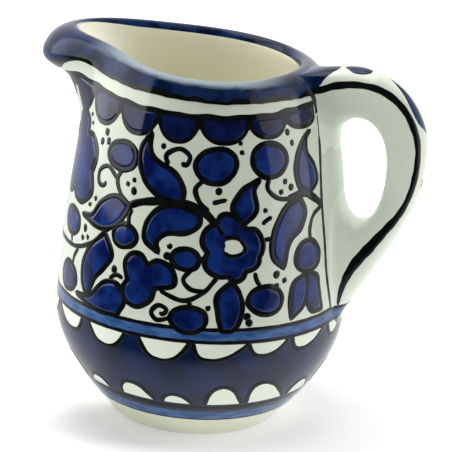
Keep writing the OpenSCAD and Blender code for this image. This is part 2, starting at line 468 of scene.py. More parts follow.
    def row_of(self, a: np.ndarray, z: np.ndarray) -> np.ndarray:
        """Ring number of the outside at an angle and height."""
        row = np.clip((z - self.heights[0]) / self.table_step, 0, len(self.heights) - 1.001)
        return look_up(self.row_table, row, self.column_of(a))

    def at_row(self, a: np.ndarray, row: np.ndarray) -> tuple[np.ndarray, np.ndarray]:
        """Points and normals at an angle and ring number."""
        return self.pick(row, self.column_of(a))

    def at(self, u: np.ndarray, v: np.ndarray) -> tuple[np.ndarray, np.ndarray]:
        """Points and normals of the outside at an angle and height."""
        u, v = np.broadcast_arrays(np.asarray(u, float), np.asarray(v, float))
        return self.at_row(u, self.row_of(u, v))


@dataclass
class HandleSkin(Surface):
    """The pulled handle, smoothed onto the wall at both roots.

    It is a rounded bar between a spine curve and a finger gap curve in the plane y = 0. A place on it is the
    distance along its spine from the rim, in millimetres, and the angle round the bar from its spine.
    """

    skin: JugSkin
    spine_start: Point = (32.0, 110.0)
    top: float = 107.6
    arch_rise: float = 9.55
    reach: float = 27.37
    reach_drop: float = 19.8
    spine_foot_z: float = 36.0
    thickness: float = 11.2
    width: float = 12.4
    root_w: Point = (12.0, 16.0)
    upper_root_h: float = 17.6
    lower_root_h: float = 39.2
    gap_crown: float = 10.5
    gap_sole: float = 12.7
    squareness: float = 2.67
    paint_room: float = 0.16
    sides: int = 120
    stations: int = 160
    blend_steps: int = 12
    root_rows: int = 30
    root_passes: int = 30
    root_top: float = 62.0
    root_widening: int = 4
    rim_room: float = 0.5
    edge_sink: float = 0.04
    leave: Point = (0.13, 1.9)
    spread: Point = (1.6, 2.4)
    web: float = 6.5
    web_at: Point = (36.0, 27.0)
    web_fill: float = 0.07
    run_out: float = 6.0
    run_out_at: Point = (145.0, 38.0)
    arch_share: float = 0.635
    crook_share: float = 0.83
    sweep_share: float = 0.34
    tail_share: Point = (0.61, 0.435)
    corner_share: float = 0.07
    steps = (0.25, 1.0)

    def __post_init__(self) -> None:
        """Works out the two curves, as in the solids, and the grid between them."""
        self._curves()
        angles = np.linspace(0, 360, self.sides, endpoint=False)
        t = np.linspace(*self.leave, self.stations)
        turn = np.minimum(angles, 360 - angles)
        web, run_out = (
            size * np.exp(-(((turn - at) / width) ** 2))
            for size, (at, width) in ((self.web, self.web_at), (self.run_out, self.run_out_at))
        )
        upper = self._root(0.0, self.leave[0], self.spread[0] + web, run_out, angles)
        even = np.full_like(angles, self.spread[1])
        lower = self._root(2.0, self.leave[1], even, np.zeros_like(angles), angles)[::-1]
        self.points = np.concatenate([upper, self._bar(t[:, None], angles[None]), lower], 0)
        share = np.exp(-((turn / self.root_top) ** 4))[:, None]
        part = self.points[: self.root_rows]
        for _ in range(self.root_passes):
            part[1:-1] = mix(part, (np.roll(part, 1, 1) + np.roll(part, -1, 1)) / 2, share / 2)[1:-1]
            part[1:-1] = mix(part[1:-1], (part[:-2] + part[2:]) / 2, share / 2)
        around = np.roll(self.points, -1, 1) - np.roll(self.points, 1, 1)
        self.normals = unit(np.cross(np.gradient(self.points, axis=0), around))
        step = np.linalg.norm(np.diff(self.points[:, 0], axis=0), axis=1)
        self.run = np.concatenate([[0], np.cumsum(step)])

    def _curves(self) -> None:
        """Control points of the spine and the finger gap."""
        top = self.top
        reach_z = top - self.reach_drop
        gap_top, gap_foot = top - self.upper_root_h, self.spine_foot_z + self.lower_root_h
        gap_mid = (gap_top + gap_foot) / 2
        x_top, x_reach, x_gap0, x_gap1, x_foot = (
            self._wall_x(z) for z in (top, reach_z, gap_top, gap_foot, self.spine_foot_z)
        )
        x = x_reach - float(self.skin.form.strip(np.zeros(1), np.array([reach_z]))[0]) + self.reach
        gx = x - self.thickness
        out, up = self.tail_share
        tail = (mix(x_foot, x, out), mix(self.spine_foot_z, reach_z, up))
        self.spine = (
            [self.spine_start, (mix(x_top, x, self.arch_share), top + self.arch_rise),
             (x, reach_z + self.crook_share * self.reach_drop), (x, reach_z)],
            [(x, reach_z), (x, mix(reach_z, self.spine_foot_z, self.sweep_share)), tail,
             (x_foot, self.spine_foot_z)],
        )
        self.gap = (
            [(x_gap0, gap_top), (mix(x_gap0, gx, self.corner_share), gap_top + self.gap_crown),
             (gx, gap_top + self.gap_crown), (gx, gap_mid)],
            [(gx, gap_mid), (gx, gap_foot - self.gap_sole),
             (mix(x_gap1, gx, self.corner_share), gap_foot - self.gap_sole), (x_gap1, gap_foot)],
        )

    def _wall_x(self, z: float) -> float:
        """Distance of the wall from the axis under the handle."""
        return float(self.skin.at(np.zeros(1), np.array([z]))[0][0, 0])

    def _pair(self, curves: tuple, t: np.ndarray) -> np.ndarray:
        """Points of a curve of two spans."""
        return np.where((t < 1)[..., None], bezier(curves[0], np.clip(t, 0, 1)),
                        bezier(curves[1], np.clip(t - 1, 0, 1)))

    def _bar(self, t: np.ndarray, b: np.ndarray) -> np.ndarray:
        """Points of the bar at a station from 0 to 2 and an angle."""
        t, b = np.broadcast_arrays(np.asarray(t, float), np.radians(np.asarray(b, float)))
        out, inner = self._pair(self.spine, t), self._pair(self.gap, t)
        middle, half = (out + inner) / 2, (out - inner) / 2
        size = np.linalg.norm(half, axis=-1, keepdims=True)
        half = half * (size - self.paint_room) / size
        root_w = np.where(t < 1, *self.root_w)
        wide = mix(self.width, root_w, np.abs(t - 1) ** self.root_widening) / 2 - self.paint_room
        c, s = np.cos(b), np.sin(b)
        rho = (np.abs(c) ** self.squareness + np.abs(s) ** self.squareness) ** (-1 / self.squareness)
        flat = middle + half * (rho * c)[..., None]
        return np.stack([flat[..., 0], wide * rho * s, flat[..., 1]], -1)

    def _root(self, t: float, t_leave: float, spread: np.ndarray, run_out: np.ndarray,
              angles: np.ndarray) -> np.ndarray:
        """Sections that run from the wall onto the bar.

        Args:
            t: station of the root, 0 or 2.
            t_leave: station where the bar takes over.
            spread: how far the blend runs out on the wall at each angle.
            run_out: how much farther it runs out without leaving the wall.
            angles: angles round the bar.

        Returns:
            Sections from the wall outwards, without the bar's own.
        """
        skin = self.skin
        start = self._bar(np.full_like(angles, t_leave), angles)
        ring = self._bar(np.full_like(angles, t), angles)
        a, z = np.degrees(np.arctan2(ring[:, 1], ring[:, 0])), ring[:, 2]
        foot, _ = skin.at(a, z)
        per_degree = np.hypot(foot[:, 0], foot[:, 1]) * math.pi / 180
        flat = np.stack([a * per_degree, z], -1)
        ahead = unit(np.roll(flat, -1, 0) - np.roll(flat, 1, 0))
        out = np.stack([ahead[:, 1], -ahead[:, 0]], -1)
        if ((flat - flat.mean(0)) * out).sum() < 0:
            out = -out
        run = flat + out * (spread + run_out)[:, None]
        top = skin.form.crest(run[:, 0] / per_degree)[1] - self.rim_room
        edge, normal = skin.at(run[:, 0] / per_degree, np.minimum(run[:, 1], top))
        s = np.linspace(0, 1, self.blend_steps)[:, None, None]
        full = self.web_fill * (spread - spread.min())[:, None]
        foot = mix(foot, (edge + start) / 2, full)
        curve = (1 - s) ** 2 * edge + 2 * s * (1 - s) * foot + s * s * start
        return curve[:-1] - normal * self.edge_sink * (1 - s[:-1])

    def grid_place(self, u: np.ndarray, v: np.ndarray) -> np.ndarray:
        """Rows and columns of the grid at a distance and angle."""
        u, v = np.broadcast_arrays(np.asarray(u, float), np.asarray(v, float))
        return np.stack([np.interp(u, self.run, np.arange(len(self.run))), v / 360 * self.sides], -1)

    def at(self, u: np.ndarray, v: np.ndarray) -> tuple[np.ndarray, np.ndarray]:
        """Points and outward normals at a distance and angle."""
        place = self.grid_place(u, v)
        return self.pick(place[..., 0], place[..., 1])


# Meshes


def quads(index: np.ndarray, closed: bool) -> list[list[int]]:
    """Faces between neighbouring rows of point numbers, with or without the last row to the first."""
    here, there = (index, np.roll(index, -1, 0)) if closed else (index[:-1], index[1:])
    corners = [here, np.roll(here, -1, 1), np.roll(there, -1, 1), there]
    return np.stack(corners, -1).reshape(-1, 4).tolist()


class Batch:
    """Points, normals and faces of one piece, gathered part by part."""

    def __init__(self) -> None:
        """Starts empty."""
        self.points: list[np.ndarray] = []
        self.normals: list[np.ndarray] = []
        self.faces: list[list[int]] = []
        self.size = 0

    def add(self, points: np.ndarray, normals: np.ndarray, faces: Iterable[Iterable[int]]) -> None:
        """Adds a closed part.

        Args:
            points: its points in millimetres.
            normals: the normal that each point is shaded with.
            faces: point numbers of each face, from 0.
        """
        self.points.append(np.asarray(points).reshape(-1, 3))
        self.normals.append(np.asarray(normals).reshape(-1, 3))
        self.faces += [[int(i) + self.size for i in face] for face in faces]
        self.size += len(self.points[-1])

    def loft(self, points: np.ndarray, normals: np.ndarray, closed: bool) -> None:
        """Adds a bar through sections of points.

        Args:
            points: sections, points and coordinates.
            normals: the same for the shading.
            closed: whether the last section joins the first. Otherwise both ends are capped.
        """
        count, around = points.shape[:2]
        index = np.arange(count * around).reshape(count, around)
        faces = quads(index, closed)
        if not closed:
            faces += [index[0, ::-1].tolist(), index[-1].tolist()]
        self.add(points, normals, faces)

    def piece(self, name: str, finish: "Finish", replaces: Sequence[str] = ()) -> bpy.types.Object:
        """Makes the gathered parts one object that rides on the jug.

        Args:
            name: the piece's name.
            finish: its material.
            replaces: nodes of the solids that it stands for.

        Returns:
            The object.
        """
        mesh = bpy.data.meshes.new(name)
        mesh.from_pydata((np.vstack(self.points) * MM).tolist(), [], self.faces)
        mesh.shade_smooth()
        mesh.normals_split_custom_set_from_vertices(unit(np.vstack(self.normals)).tolist())
        mesh.materials.append(finish.material())
        obj = bpy.data.objects.new(name, mesh)
        bpy.context.scene.collection.objects.link(obj)
        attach(obj, BODY)
        if replaces:
            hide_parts(*replaces)
        LOG.info("%s: %d points, %s", name, self.size, finish.name)
        return obj


@dataclass(frozen=True)
class Line:
    """A painted line: its width and height, and how far it is sunk in the glaze."""

    width: float = 1.45
    height: float = 0.12
    sink: float = 0.3
    uneven: float = 0.1
    waver: Point = (0.83, 0.37)
    least_half: float = 0.2
    least_rise: float = 0.2
    steepest: float = 3.0
    tip_start: float = 0.02
    across = np.array([-1, -0.93, -0.75, -0.4, 0, 0.4, 0.75, 0.93, 1])

    def section(self) -> tuple[np.ndarray, np.ndarray]:
        """Height and slope across the line, for a half width of one."""
        u = self.across
        height = np.sqrt(1 - u**4)
        slope = -2 * u**3 / np.maximum(height, self.least_rise)
        return height, np.clip(slope, -self.steepest, self.steepest)

    def draw(self, batch: Batch, surface: Surface, path: np.ndarray, closed: bool = False,
             widths: np.ndarray | None = None) -> None:
        """Lays the line along a path.

        Args:
            batch: where the part goes.
            surface: what it is painted on.
            path: coordinates on the surface, closely spaced.
            closed: whether the path runs back to its start.
            widths: share of the width at each sample, or None for a steady hand.
        """
        points, normals = surface.at(path[:, 0], path[:, 1])
        if closed:
            ahead = unit(np.roll(points, -1, 0) - np.roll(points, 1, 0))
        else:
            ahead = unit(np.gradient(points, axis=0))
        right = unit(np.cross(ahead, normals))
        gap = np.linalg.norm(np.diff(points, axis=0), axis=1)
        run = np.concatenate([[0], np.cumsum(gap)])
        slow, slower = (run * rate + start for rate, start in zip(self.waver, path[0]))
        share = 1 + self.uneven * np.sin(slow) * np.cos(slower)
        if widths is not None:
            share = share * widths
        tip = np.ones(len(run))
        if not closed:
            end = np.minimum(run, run[-1] - run)
            rest = 1 - np.clip(end / (0.5 * self.width) + self.tip_start, 0, 1)
            tip = np.sqrt(1 - rest**2)
        half = 0.5 * self.width * share * tip
        along, up = surface.tangents(path[:, 0], path[:, 1])
        g11, g12, g22 = ((x * y).sum(-1) for x, y in ((along, along), (along, up), (up, up)))
        b1, b2 = (along * right).sum(-1), (up * right).sum(-1)
        det = g11 * g22 - g12 * g12
        turn = np.stack([(g22 * b1 - g12 * b2) / det, (g11 * b2 - g12 * b1) / det], -1)
        spread = path[:, None] + turn[:, None] * (half[:, None] * self.across)[..., None]
        top, lean = surface.at(spread[..., 0], spread[..., 1])
        height, slope = self.section()
        tilt = self.height * slope / np.maximum(half, self.least_half)[:, None]
        shade = unit(lean - right[:, None] * tilt[..., None])
        raised = top + lean * (self.height * height * tip[:, None])[..., None]
        below = (top - lean * self.sink)[:, [-1, 0]]
        batch.loft(np.concatenate([raised, below], 1), np.concatenate([shade, -lean[:, [-1, 0]]], 1), closed)


@dataclass(frozen=True)
class Puddle:
    """A raised pool of glaze: its height, the width of its rounded edge and its margin to the outline."""

    height: float = 0.2
    edge: float = 0.9
    margin: float = 0.45
    sink: float = 0.12
    depth: float = 0.4
    grain: float = 1.6
    edge_rings: tuple[float, ...] = (0.02, 0.15, 0.4, 1.0)
    clear: float = 0.96
    grain_room: float = 0.4
    least_arc: float = 0.25

    def rise(self, gap: np.ndarray) -> tuple[np.ndarray, np.ndarray]:
        """Height and slope at a distance from the outline."""
        x = np.clip((gap - self.margin) / self.edge, 0, 1)
        span = self.height + self.sink
        arc = np.sqrt(np.maximum(1 - (1 - x) ** 2, 1e-4))
        slope = span * (1 - x) / np.maximum(arc, self.least_arc) / self.edge
        return span * arc - self.sink, np.where((x > 0) & (x < 1), slope, 0)

    def fill(self, batch: Batch, surface: Surface, outline: np.ndarray, scale: np.ndarray) -> None:
        """Fills a closed outline.

        Args:
            batch: where the part goes.
            surface: what it is painted on.
            outline: closely spaced points in millimetres, flat, without the first one repeated.
            scale: millimetres per unit of the surface's coordinates.
        """
        follow = np.roll(outline, -1, 0)
        turn = np.sum(outline[:, 0] * follow[:, 1] - follow[:, 0] * outline[:, 1])
        if turn < 0:
            outline = outline[::-1]
        ahead = unit(np.roll(outline, -1, 0) - np.roll(outline, 1, 0))
        inward = np.stack([-ahead[:, 1], ahead[:, 0]], -1)
        loose = []
        for share in self.edge_rings:
            gap = self.margin + share * self.edge
            ring = outline + inward * gap
            loose.append(ring[nearest(ring, outline)[0] > self.clear * gap])
        low, high = outline.min(0), outline.max(0)
        grid = np.stack(np.meshgrid(*(np.arange(low[c], high[c], self.grain) for c in range(2))), -1)
        grid = grid.reshape(-1, 2)
        grid = grid[inside(grid, outline)]
        if len(grid):
            room = self.margin + self.edge + self.grain_room * self.grain
            loose.append(grid[nearest(grid, outline)[0] > room])
        flat = np.vstack([outline, *loose])
        count = len(outline)
        edges = [(i, (i + 1) % count) for i in range(count)]
        corners = [Vector(p) for p in flat]
        found = delaunay_2d_cdt(corners, edges, [list(range(count))], KEEP_INSIDE, WELD)
        flat = np.array([tuple(p) for p in found[0]])
        faces = [list(f) for f in found[2]]
        gap, away = nearest(flat, outline)
        height, slope = self.rise(gap)
        base, normal = surface.at(flat[:, 0] / scale[0], flat[:, 1] / scale[1])
        along, up = surface.tangents(flat[:, 0] / scale[0], flat[:, 1] / scale[1])
        lean = (unit(along) * away[:, :1] + unit(up) * away[:, 1:]) * slope[:, None]
        size = len(flat)
        used = dict.fromkeys(pair for f in faces for pair in zip(f, f[1:] + f[:1]))
        rim = [(i, j) for i, j in used if (j, i) not in used]
        walls = [[j, i, i + size, j + size] for i, j in rim]
        bottoms = [[i + size for i in reversed(f)] for f in faces]
        points = np.vstack([base + normal * height[:, None], base - normal * self.depth])
        batch.add(points, np.vstack([unit(normal - lean), -normal]), faces + walls + bottoms)


@dataclass(frozen=True)
class Coat:
    """An even coat of glaze between two edges."""

    height: float = 0.08
    sink: float = 0.25
    steps: int = 14
    edge_power: int = 12

    def lay(self, batch: Batch, surface: Surface, first: np.ndarray, last: np.ndarray, closed: bool) -> None:
        """Lays the coat.

        Args:
            batch: where the part goes.
            surface: what it is laid on.
            first: rows and columns of the grid along the one edge.
            last: the same along the other edge.
            closed: whether the edges run all round.
        """
        s = (1 - np.cos(np.linspace(0, math.pi, self.steps))) / 2
        place = mix(first[:, None], last[:, None], s[:, None])
        points, normals = surface.pick(place[..., 0], place[..., 1])
        coat = self.height * np.sqrt(np.clip(1 - np.abs(2 * s - 1) ** self.edge_power, 0, 1))
        face = points + normals * coat[:, None]
        back = (points - normals * self.sink)[:, ::-1]
        batch.loft(np.concatenate([face, back], 1), np.concatenate([normals, -normals[:, ::-1]], 1), closed)


def nearest(points: np.ndarray, outline: np.ndarray) -> tuple[np.ndarray, np.ndarray]:
    """Distance of points to a closed outline.

    Args:
        points: flat points.
        outline: the outline's points.

    Returns:
        The distances, and the directions away from the outline.
    """
    start, span = outline, np.roll(outline, -1, 0) - outline
    away = points[:, None] - start
    share = np.clip((away * span).sum(-1) / np.maximum((span * span).sum(-1), 1e-12), 0, 1)
    away = away - span * share[..., None]
    gap = np.linalg.norm(away, axis=-1)
    best = gap.argmin(1)
    pick = np.arange(len(points))
    return gap[pick, best], unit(away[pick, best])


def inside(points: np.ndarray, outline: np.ndarray) -> np.ndarray:
    """Whether each flat point lies inside a closed outline."""
    x, y = points[:, :1], points[:, 1:]
    x0, y0 = outline.T
    x1, y1 = np.roll(outline, -1, 0).T
    crosses = (y0 > y) != (y1 > y)
    at = x0 + (y - y0) / np.where(y1 == y0, 1e-9, y1 - y0) * (x1 - x0)
    return (crosses & (x < at)).sum(1) % 2 == 1


# Finishes


class Signal:
    """A shader socket that takes part in Python expressions."""

    def __init__(self, shader: "Shader", socket: bpy.types.NodeSocket) -> None:
        """Wraps an output socket."""
        self.shader = shader
        self.socket = socket

    def _math(self, operation: str, *values: Any) -> "Signal":
        """Adds a Math node."""
        return self.shader.node("ShaderNodeMath", {"operation": operation}, dict(enumerate(values)))

    def __add__(self, other: Any) -> "Signal":
        """Sum."""
        return self._math("ADD", self, other)

    __radd__ = __add__

    def __sub__(self, other: Any) -> "Signal":
        """Difference."""
        return self._math("SUBTRACT", self, other)

    def __rsub__(self, other: Any) -> "Signal":
        """Difference from a number."""
        return self._math("SUBTRACT", other, self)

    def __mul__(self, other: Any) -> "Signal":
        """Product."""
        return self._math("MULTIPLY", self, other)

    __rmul__ = __mul__

    def between(self, low: float, high: float) -> "Signal":
        """Smooth step from 0 at low to 1 at high."""
        return self.shader.node(
            "ShaderNodeMapRange", {"interpolation_type": "SMOOTHSTEP"}, {"Value": self, 1: low, 2: high}
        )


class Shader:
    """A node tree that is written from the source to the output."""

    def __init__(self, tree: bpy.types.NodeTree) -> None:
        """Empties the tree."""
        self.tree = tree
        tree.nodes.clear()

    def node(self, kind: str, settings: dict[str, Any] | None = None,
             sockets: dict[Any, Any] | None = None, output: Any = 0) -> Signal:
        """Adds a node.

        Args:
            kind: the node's type.
            settings: its own properties, set first.
            sockets: values or signals of its inputs, by name or number.
            output: name or number of the output that is returned.

        Returns:
            The output.
        """
        made = self.tree.nodes.new(kind)
        for key, value in (settings or {}).items():
            setattr(made, key, value)
        for key, value in (sockets or {}).items():
            if isinstance(value, Signal):
                self.tree.links.new(value.socket, made.inputs[key])
            else:
                made.inputs[key].default_value = value
        return Signal(self, made.outputs[output]) if made.outputs else None

    def noise(self, size: float, detail: float = 3.0, stretch: Sequence[float] = (1, 1, 1)) -> Signal:
        """Soft noise in the jug's own frame.

        Args:
            size: size of its patches in millimetres.
            detail: number of finer layers.
            stretch: share of the frequency along each axis.

        Returns:
            Values about one half.
        """
        place = self.node("ShaderNodeTexCoord", output="Object")
        place = self.node("ShaderNodeMapping", {}, {"Vector": place, "Scale": stretch})
        sockets = {"Vector": place, "Scale": 1 / (size * MM), "Detail": detail}
        return self.node("ShaderNodeTexNoise", {}, sockets)

    def part(self, vector: Signal, axis: str) -> Signal:
        """One coordinate of a vector."""
        return self.node("ShaderNodeSeparateXYZ", {}, {0: vector}, axis)

    def vector(self, operation: str, *values: Any, output: str = "Vector") -> Signal:
        """Adds a Vector Math node."""
        return self.node("ShaderNodeVectorMath", {"operation": operation}, dict(enumerate(values)), output)

    def blend(self, share: Signal, first: Any, second: Any) -> Signal:
        """Colour between two colours."""
        sockets = {MIX_SHARE: share, MIX_FIRST: first, MIX_SECOND: second}
        return self.node("ShaderNodeMix", {"data_type": "RGBA"}, sockets, MIX_RESULT)


def rgb(red: float, green: float, blue: float) -> Colour:
    """Linear colour with full cover."""
    return (red, green, blue, 1.0)


@dataclass(frozen=True)
class Finish:
    """A fired finish: two colours that its thickness moves between, its gloss and its ripple."""

    name: str
    slot: Slot
    thin: Colour
    thick: Colour
    patch: float = 12.0
    low: float = 0.35
    high: float = 0.65
    roughness: float = 0.06
    ripple: float = 0.25
    shine: float = 0.5
    stretch: Triple = (1, 1, 1)
    # Painted highlight: a pale colour on up-facing streaks about one place stands in for the top light's
    # reflection, partly thin glaze.
    thin_glaze_and_sheen: Colour | None = None
    sheen_at: Triple = (0.0, 0.0, 0.0)
    sheen_reach: Point = (0.038, 0.018)
    sheen_facing: Point = (0.6, 1.1)
    streak: float = 4.0
    streak_share: float = 0.5
    streak_stretch: Triple = (1, 1, 4)
    layers: float = 4.0
    gloss_patch: float = 18.0
    gloss_spread: float = 0.04
    swell_patch: float = 16.0
    swell_layers: float = 1.0
    swell_depth: float = 0.35
    fine_patch: float = 3.0
    fine_layers: float = 2.0
    fine_share: float = 0.12
    ior: float = 1.5

    def material(self) -> bpy.types.Material:
        """The finish as a material, made once."""
        made = bpy.data.materials.get(self.name)
        if made:
            return made
        made = bpy.data.materials.new(self.name)
        made.use_nodes = True
        made.diffuse_color = self.thick
        s = Shader(made.node_tree)
        cover = s.noise(self.patch, self.layers, self.stretch).between(self.low, self.high)
        colour = s.blend(cover, self.thin, self.thick)
        # Painted highlight on the lip's crest, partly thin glaze.
        if self.thin_glaze_and_sheen:
            colour = s.blend(self._sheen_share(s), colour, self.thin_glaze_and_sheen)
        gloss = self.roughness + self.gloss_spread * s.noise(self.gloss_patch)
        swell = s.noise(self.swell_patch, self.swell_layers)
        swell = swell + self.fine_share * s.noise(self.fine_patch, self.fine_layers)
        ripple = {"Strength": self.ripple, "Distance": self.swell_depth * MM, "Height": swell}
        sockets = {
            "Base Color": colour,
            "Roughness": gloss,
            "IOR": self.ior,
            "Specular IOR Level": self.shine,
            "Normal": s.node("ShaderNodeBump", {}, ripple),
        }
        surface = s.node("ShaderNodeBsdfPrincipled", {}, sockets)
        s.node("ShaderNodeOutputMaterial", {}, {"Surface": surface})
        return made

    def _sheen_share(self, s: Shader) -> Signal:
        """Share of the painted highlight, partly thin glaze: on streaks that face up, about one place."""
        up = s.part(s.node("ShaderNodeNewGeometry", output="Normal"), "Z")
        streak = s.noise(self.streak, self.layers, self.streak_stretch)
        place = s.node("ShaderNodeTexCoord", output="Object")
        away = s.vector("DISTANCE", place, self.sheen_at, output="Value")
        return (up + self.streak_share * streak).between(*self.sheen_facing) * away.between(*self.sheen_reach)


WHITE = Finish(
    "white_tin_glaze", Slot.WHITE, rgb(0.64, 0.715, 0.59), rgb(0.68, 0.75, 0.635), patch=22.0,
)
# A lighter copy of the white glaze: painted light on the handle and the white half-rounds.
LIT_WHITE = Finish(
    "lit_white_glaze", Slot.WHITE, rgb(0.75, 0.83, 0.70), rgb(0.80, 0.875, 0.75), patch=22.0,
)
# Foot band: partly its own cream glaze, partly painted light from the floor, so lighter and warmer than the
# wall.
FOOT_GLAZE_AND_LIGHT = Finish(
    "foot_glaze_and_floor_light", Slot.WHITE, rgb(0.70, 0.75, 0.56), rgb(0.77, 0.81, 0.64), patch=22.0,
)
CREAM = Finish(
    "cream_lining_glaze", Slot.CREAM, rgb(0.955, 0.94, 0.755), rgb(0.975, 0.96, 0.805), patch=30.0,
)
COBALT = Finish(
    "cobalt_puddle", Slot.BLUE, rgb(0.006, 0.029, 0.17), rgb(0.0005, 0.006, 0.062), patch=6.0,
)
BELT = Finish(
    "cobalt_belt", Slot.BLUE, rgb(0.004, 0.017, 0.07), rgb(0.001, 0.008, 0.034), patch=9.0,
)
WASH = Finish(
    "thin_blue_line", Slot.BLUE, rgb(0.055, 0.14, 0.33), rgb(0.018, 0.06, 0.2), patch=5.0, stretch=(1, 1, 3),
)
RIM = Finish(
    "cobalt_scallops", Slot.BLUE, rgb(0.004, 0.012, 0.085), rgb(0.001, 0.003, 0.018), patch=7.0,
)
# The lip's pale colour on its near crest is a painted highlight of the top light, partly thin glaze.
LIP = Finish(
    "cobalt_lip", Slot.BLUE, rgb(0.008, 0.028, 0.105), rgb(0.001, 0.007, 0.032), patch=6.0,
    shine=0.24, roughness=0.13, thin_glaze_and_sheen=rgb(0.27, 0.335, 0.38), sheen_at=(-0.001, -0.035, 0.107),
)
BLACK = Finish(
    "black_brush_line", Slot.BLACK, rgb(0.006, 0.007, 0.007), rgb(0.002, 0.0025, 0.0025), patch=4.0,
    shine=0.36,
)
CLAY = Finish(
    "bare_foot_clay", Slot.CLAY, rgb(0.70, 0.62, 0.47), rgb(0.80, 0.74, 0.60), patch=3.0, roughness=0.6,
)


# Pieces of the body


@dataclass
class GlazedBody:
    """The thrown body, its cream lining and its bare standing face."""

    skin: JugSkin
    lining_t: float = 0.25
    lining_start: int = 6
    lining_fade: int = 10
    face_t: float = 0.3
    face_inset: float = 0.9
    face_edge: float = 0.1
    face_lean: Run = ((-0.7, 0.7), (0.7, 0.7), (0.3, -1.0), (-0.3, -1.0))

    def build(self) -> None:
        """Makes the three pieces."""
        self._body()
        self._lining()
        self._standing_face()

    def _body(self) -> None:
        """Closed skin through all rings, with one point at each end."""
        points, normals = self.skin.points, self.skin.normals
        count, around = points.shape[:2]
        rings = points[1:-1].reshape(-1, 3)
        index = np.arange(len(rings)).reshape(count - 2, around)
        first, last = len(rings), len(rings) + 1
        ends = [[first, int(q), int(p)] for p, q in zip(index[0], np.roll(index[0], -1))]
        ends += [[last, int(p), int(q)] for p, q in zip(index[-1], np.roll(index[-1], -1))]
        batch = Batch()
        batch.add(
            np.vstack([rings, points[0, :1], points[-1, :1]]),
            np.vstack([normals[1:-1].reshape(-1, 3), normals[0, :1], normals[-1, :1]]),
            quads(index, False) + ends,
        )
        batch.piece("glazed_body", WHITE, ("base_floor", "belly_bowl", "shoulder_wall", "neck_and_spout"))

    def _lining(self) -> None:
        """Coat of cream glaze from inside the lip to the middle of the floor."""
        start = self.skin.marks["crest"] + self.lining_start
        points, normals = self.skin.points[start:-1], self.skin.normals[start:-1]
        row = np.arange(len(points))
        coat = self.lining_t * ease(np.clip(row / self.lining_fade, 0, 1))
        face = points + normals * coat[:, None, None]
        back = points[::-1] - normals[::-1] * self.lining_t
        batch = Batch()
        loop = np.concatenate([face, back], 0)
        shade = np.concatenate([normals, -normals[::-1]], 0)
        batch.loft(loop.transpose(1, 0, 2)[::-1], shade.transpose(1, 0, 2)[::-1], True)
        batch.piece("cream_lining", CREAM, ("inner_glaze",))

    def _standing_face(self) -> None:
        """Ring of bare clay that the jug stands on."""
        form = self.skin.form
        low = form.foot_r - form.foot_w + self.face_inset
        high = form.foot_r - form.foot_inset - self.face_inset
        section = [(low, self.face_t), (high, self.face_t)]
        section += [(high - self.face_edge, 0.0), (low + self.face_edge, 0.0)]
        t = np.radians(self.skin.angles)[:, None]

        def turned(pairs: Run) -> np.ndarray:
            """A section carried round the axis."""
            r, z = (np.array(c) for c in zip(*pairs))
            return np.stack([r * np.cos(t), r * np.sin(t), np.broadcast_to(z, (len(t), len(z)))], -1)

        batch = Batch()
        batch.loft(turned(section)[::-1], turned(self.face_lean)[::-1], True)
        batch.piece("bare_standing_face", CLAY, ("foot_ring",))


@dataclass
class PulledHandle:
    """The handle's clay."""

    bar: HandleSkin
    sink: float = 1.0

    def build(self) -> None:
        """Makes the handle, with both ends sunk in the wall."""
        points, normals = self.bar.points, self.bar.normals
        ends = []
        for ring in (points[:1], points[-1:]):
            inward = -unit(ring * np.array([1, 1, 0]))
            ends.append(ring + inward * self.sink)
        points = np.concatenate([ends[0], points, ends[1]], 0)
        normals = np.concatenate([normals[:1], normals, normals[-1:]], 0)
        batch = Batch()
        batch.loft(points[:, ::-1], normals[:, ::-1], False)
        # The handle's white is the lighter copy of the glaze: painted light.
        batch.piece("pulled_handle", LIT_WHITE, ("handle", "upper_slip_joint", "lower_slip_joint"))


# Painted ornament


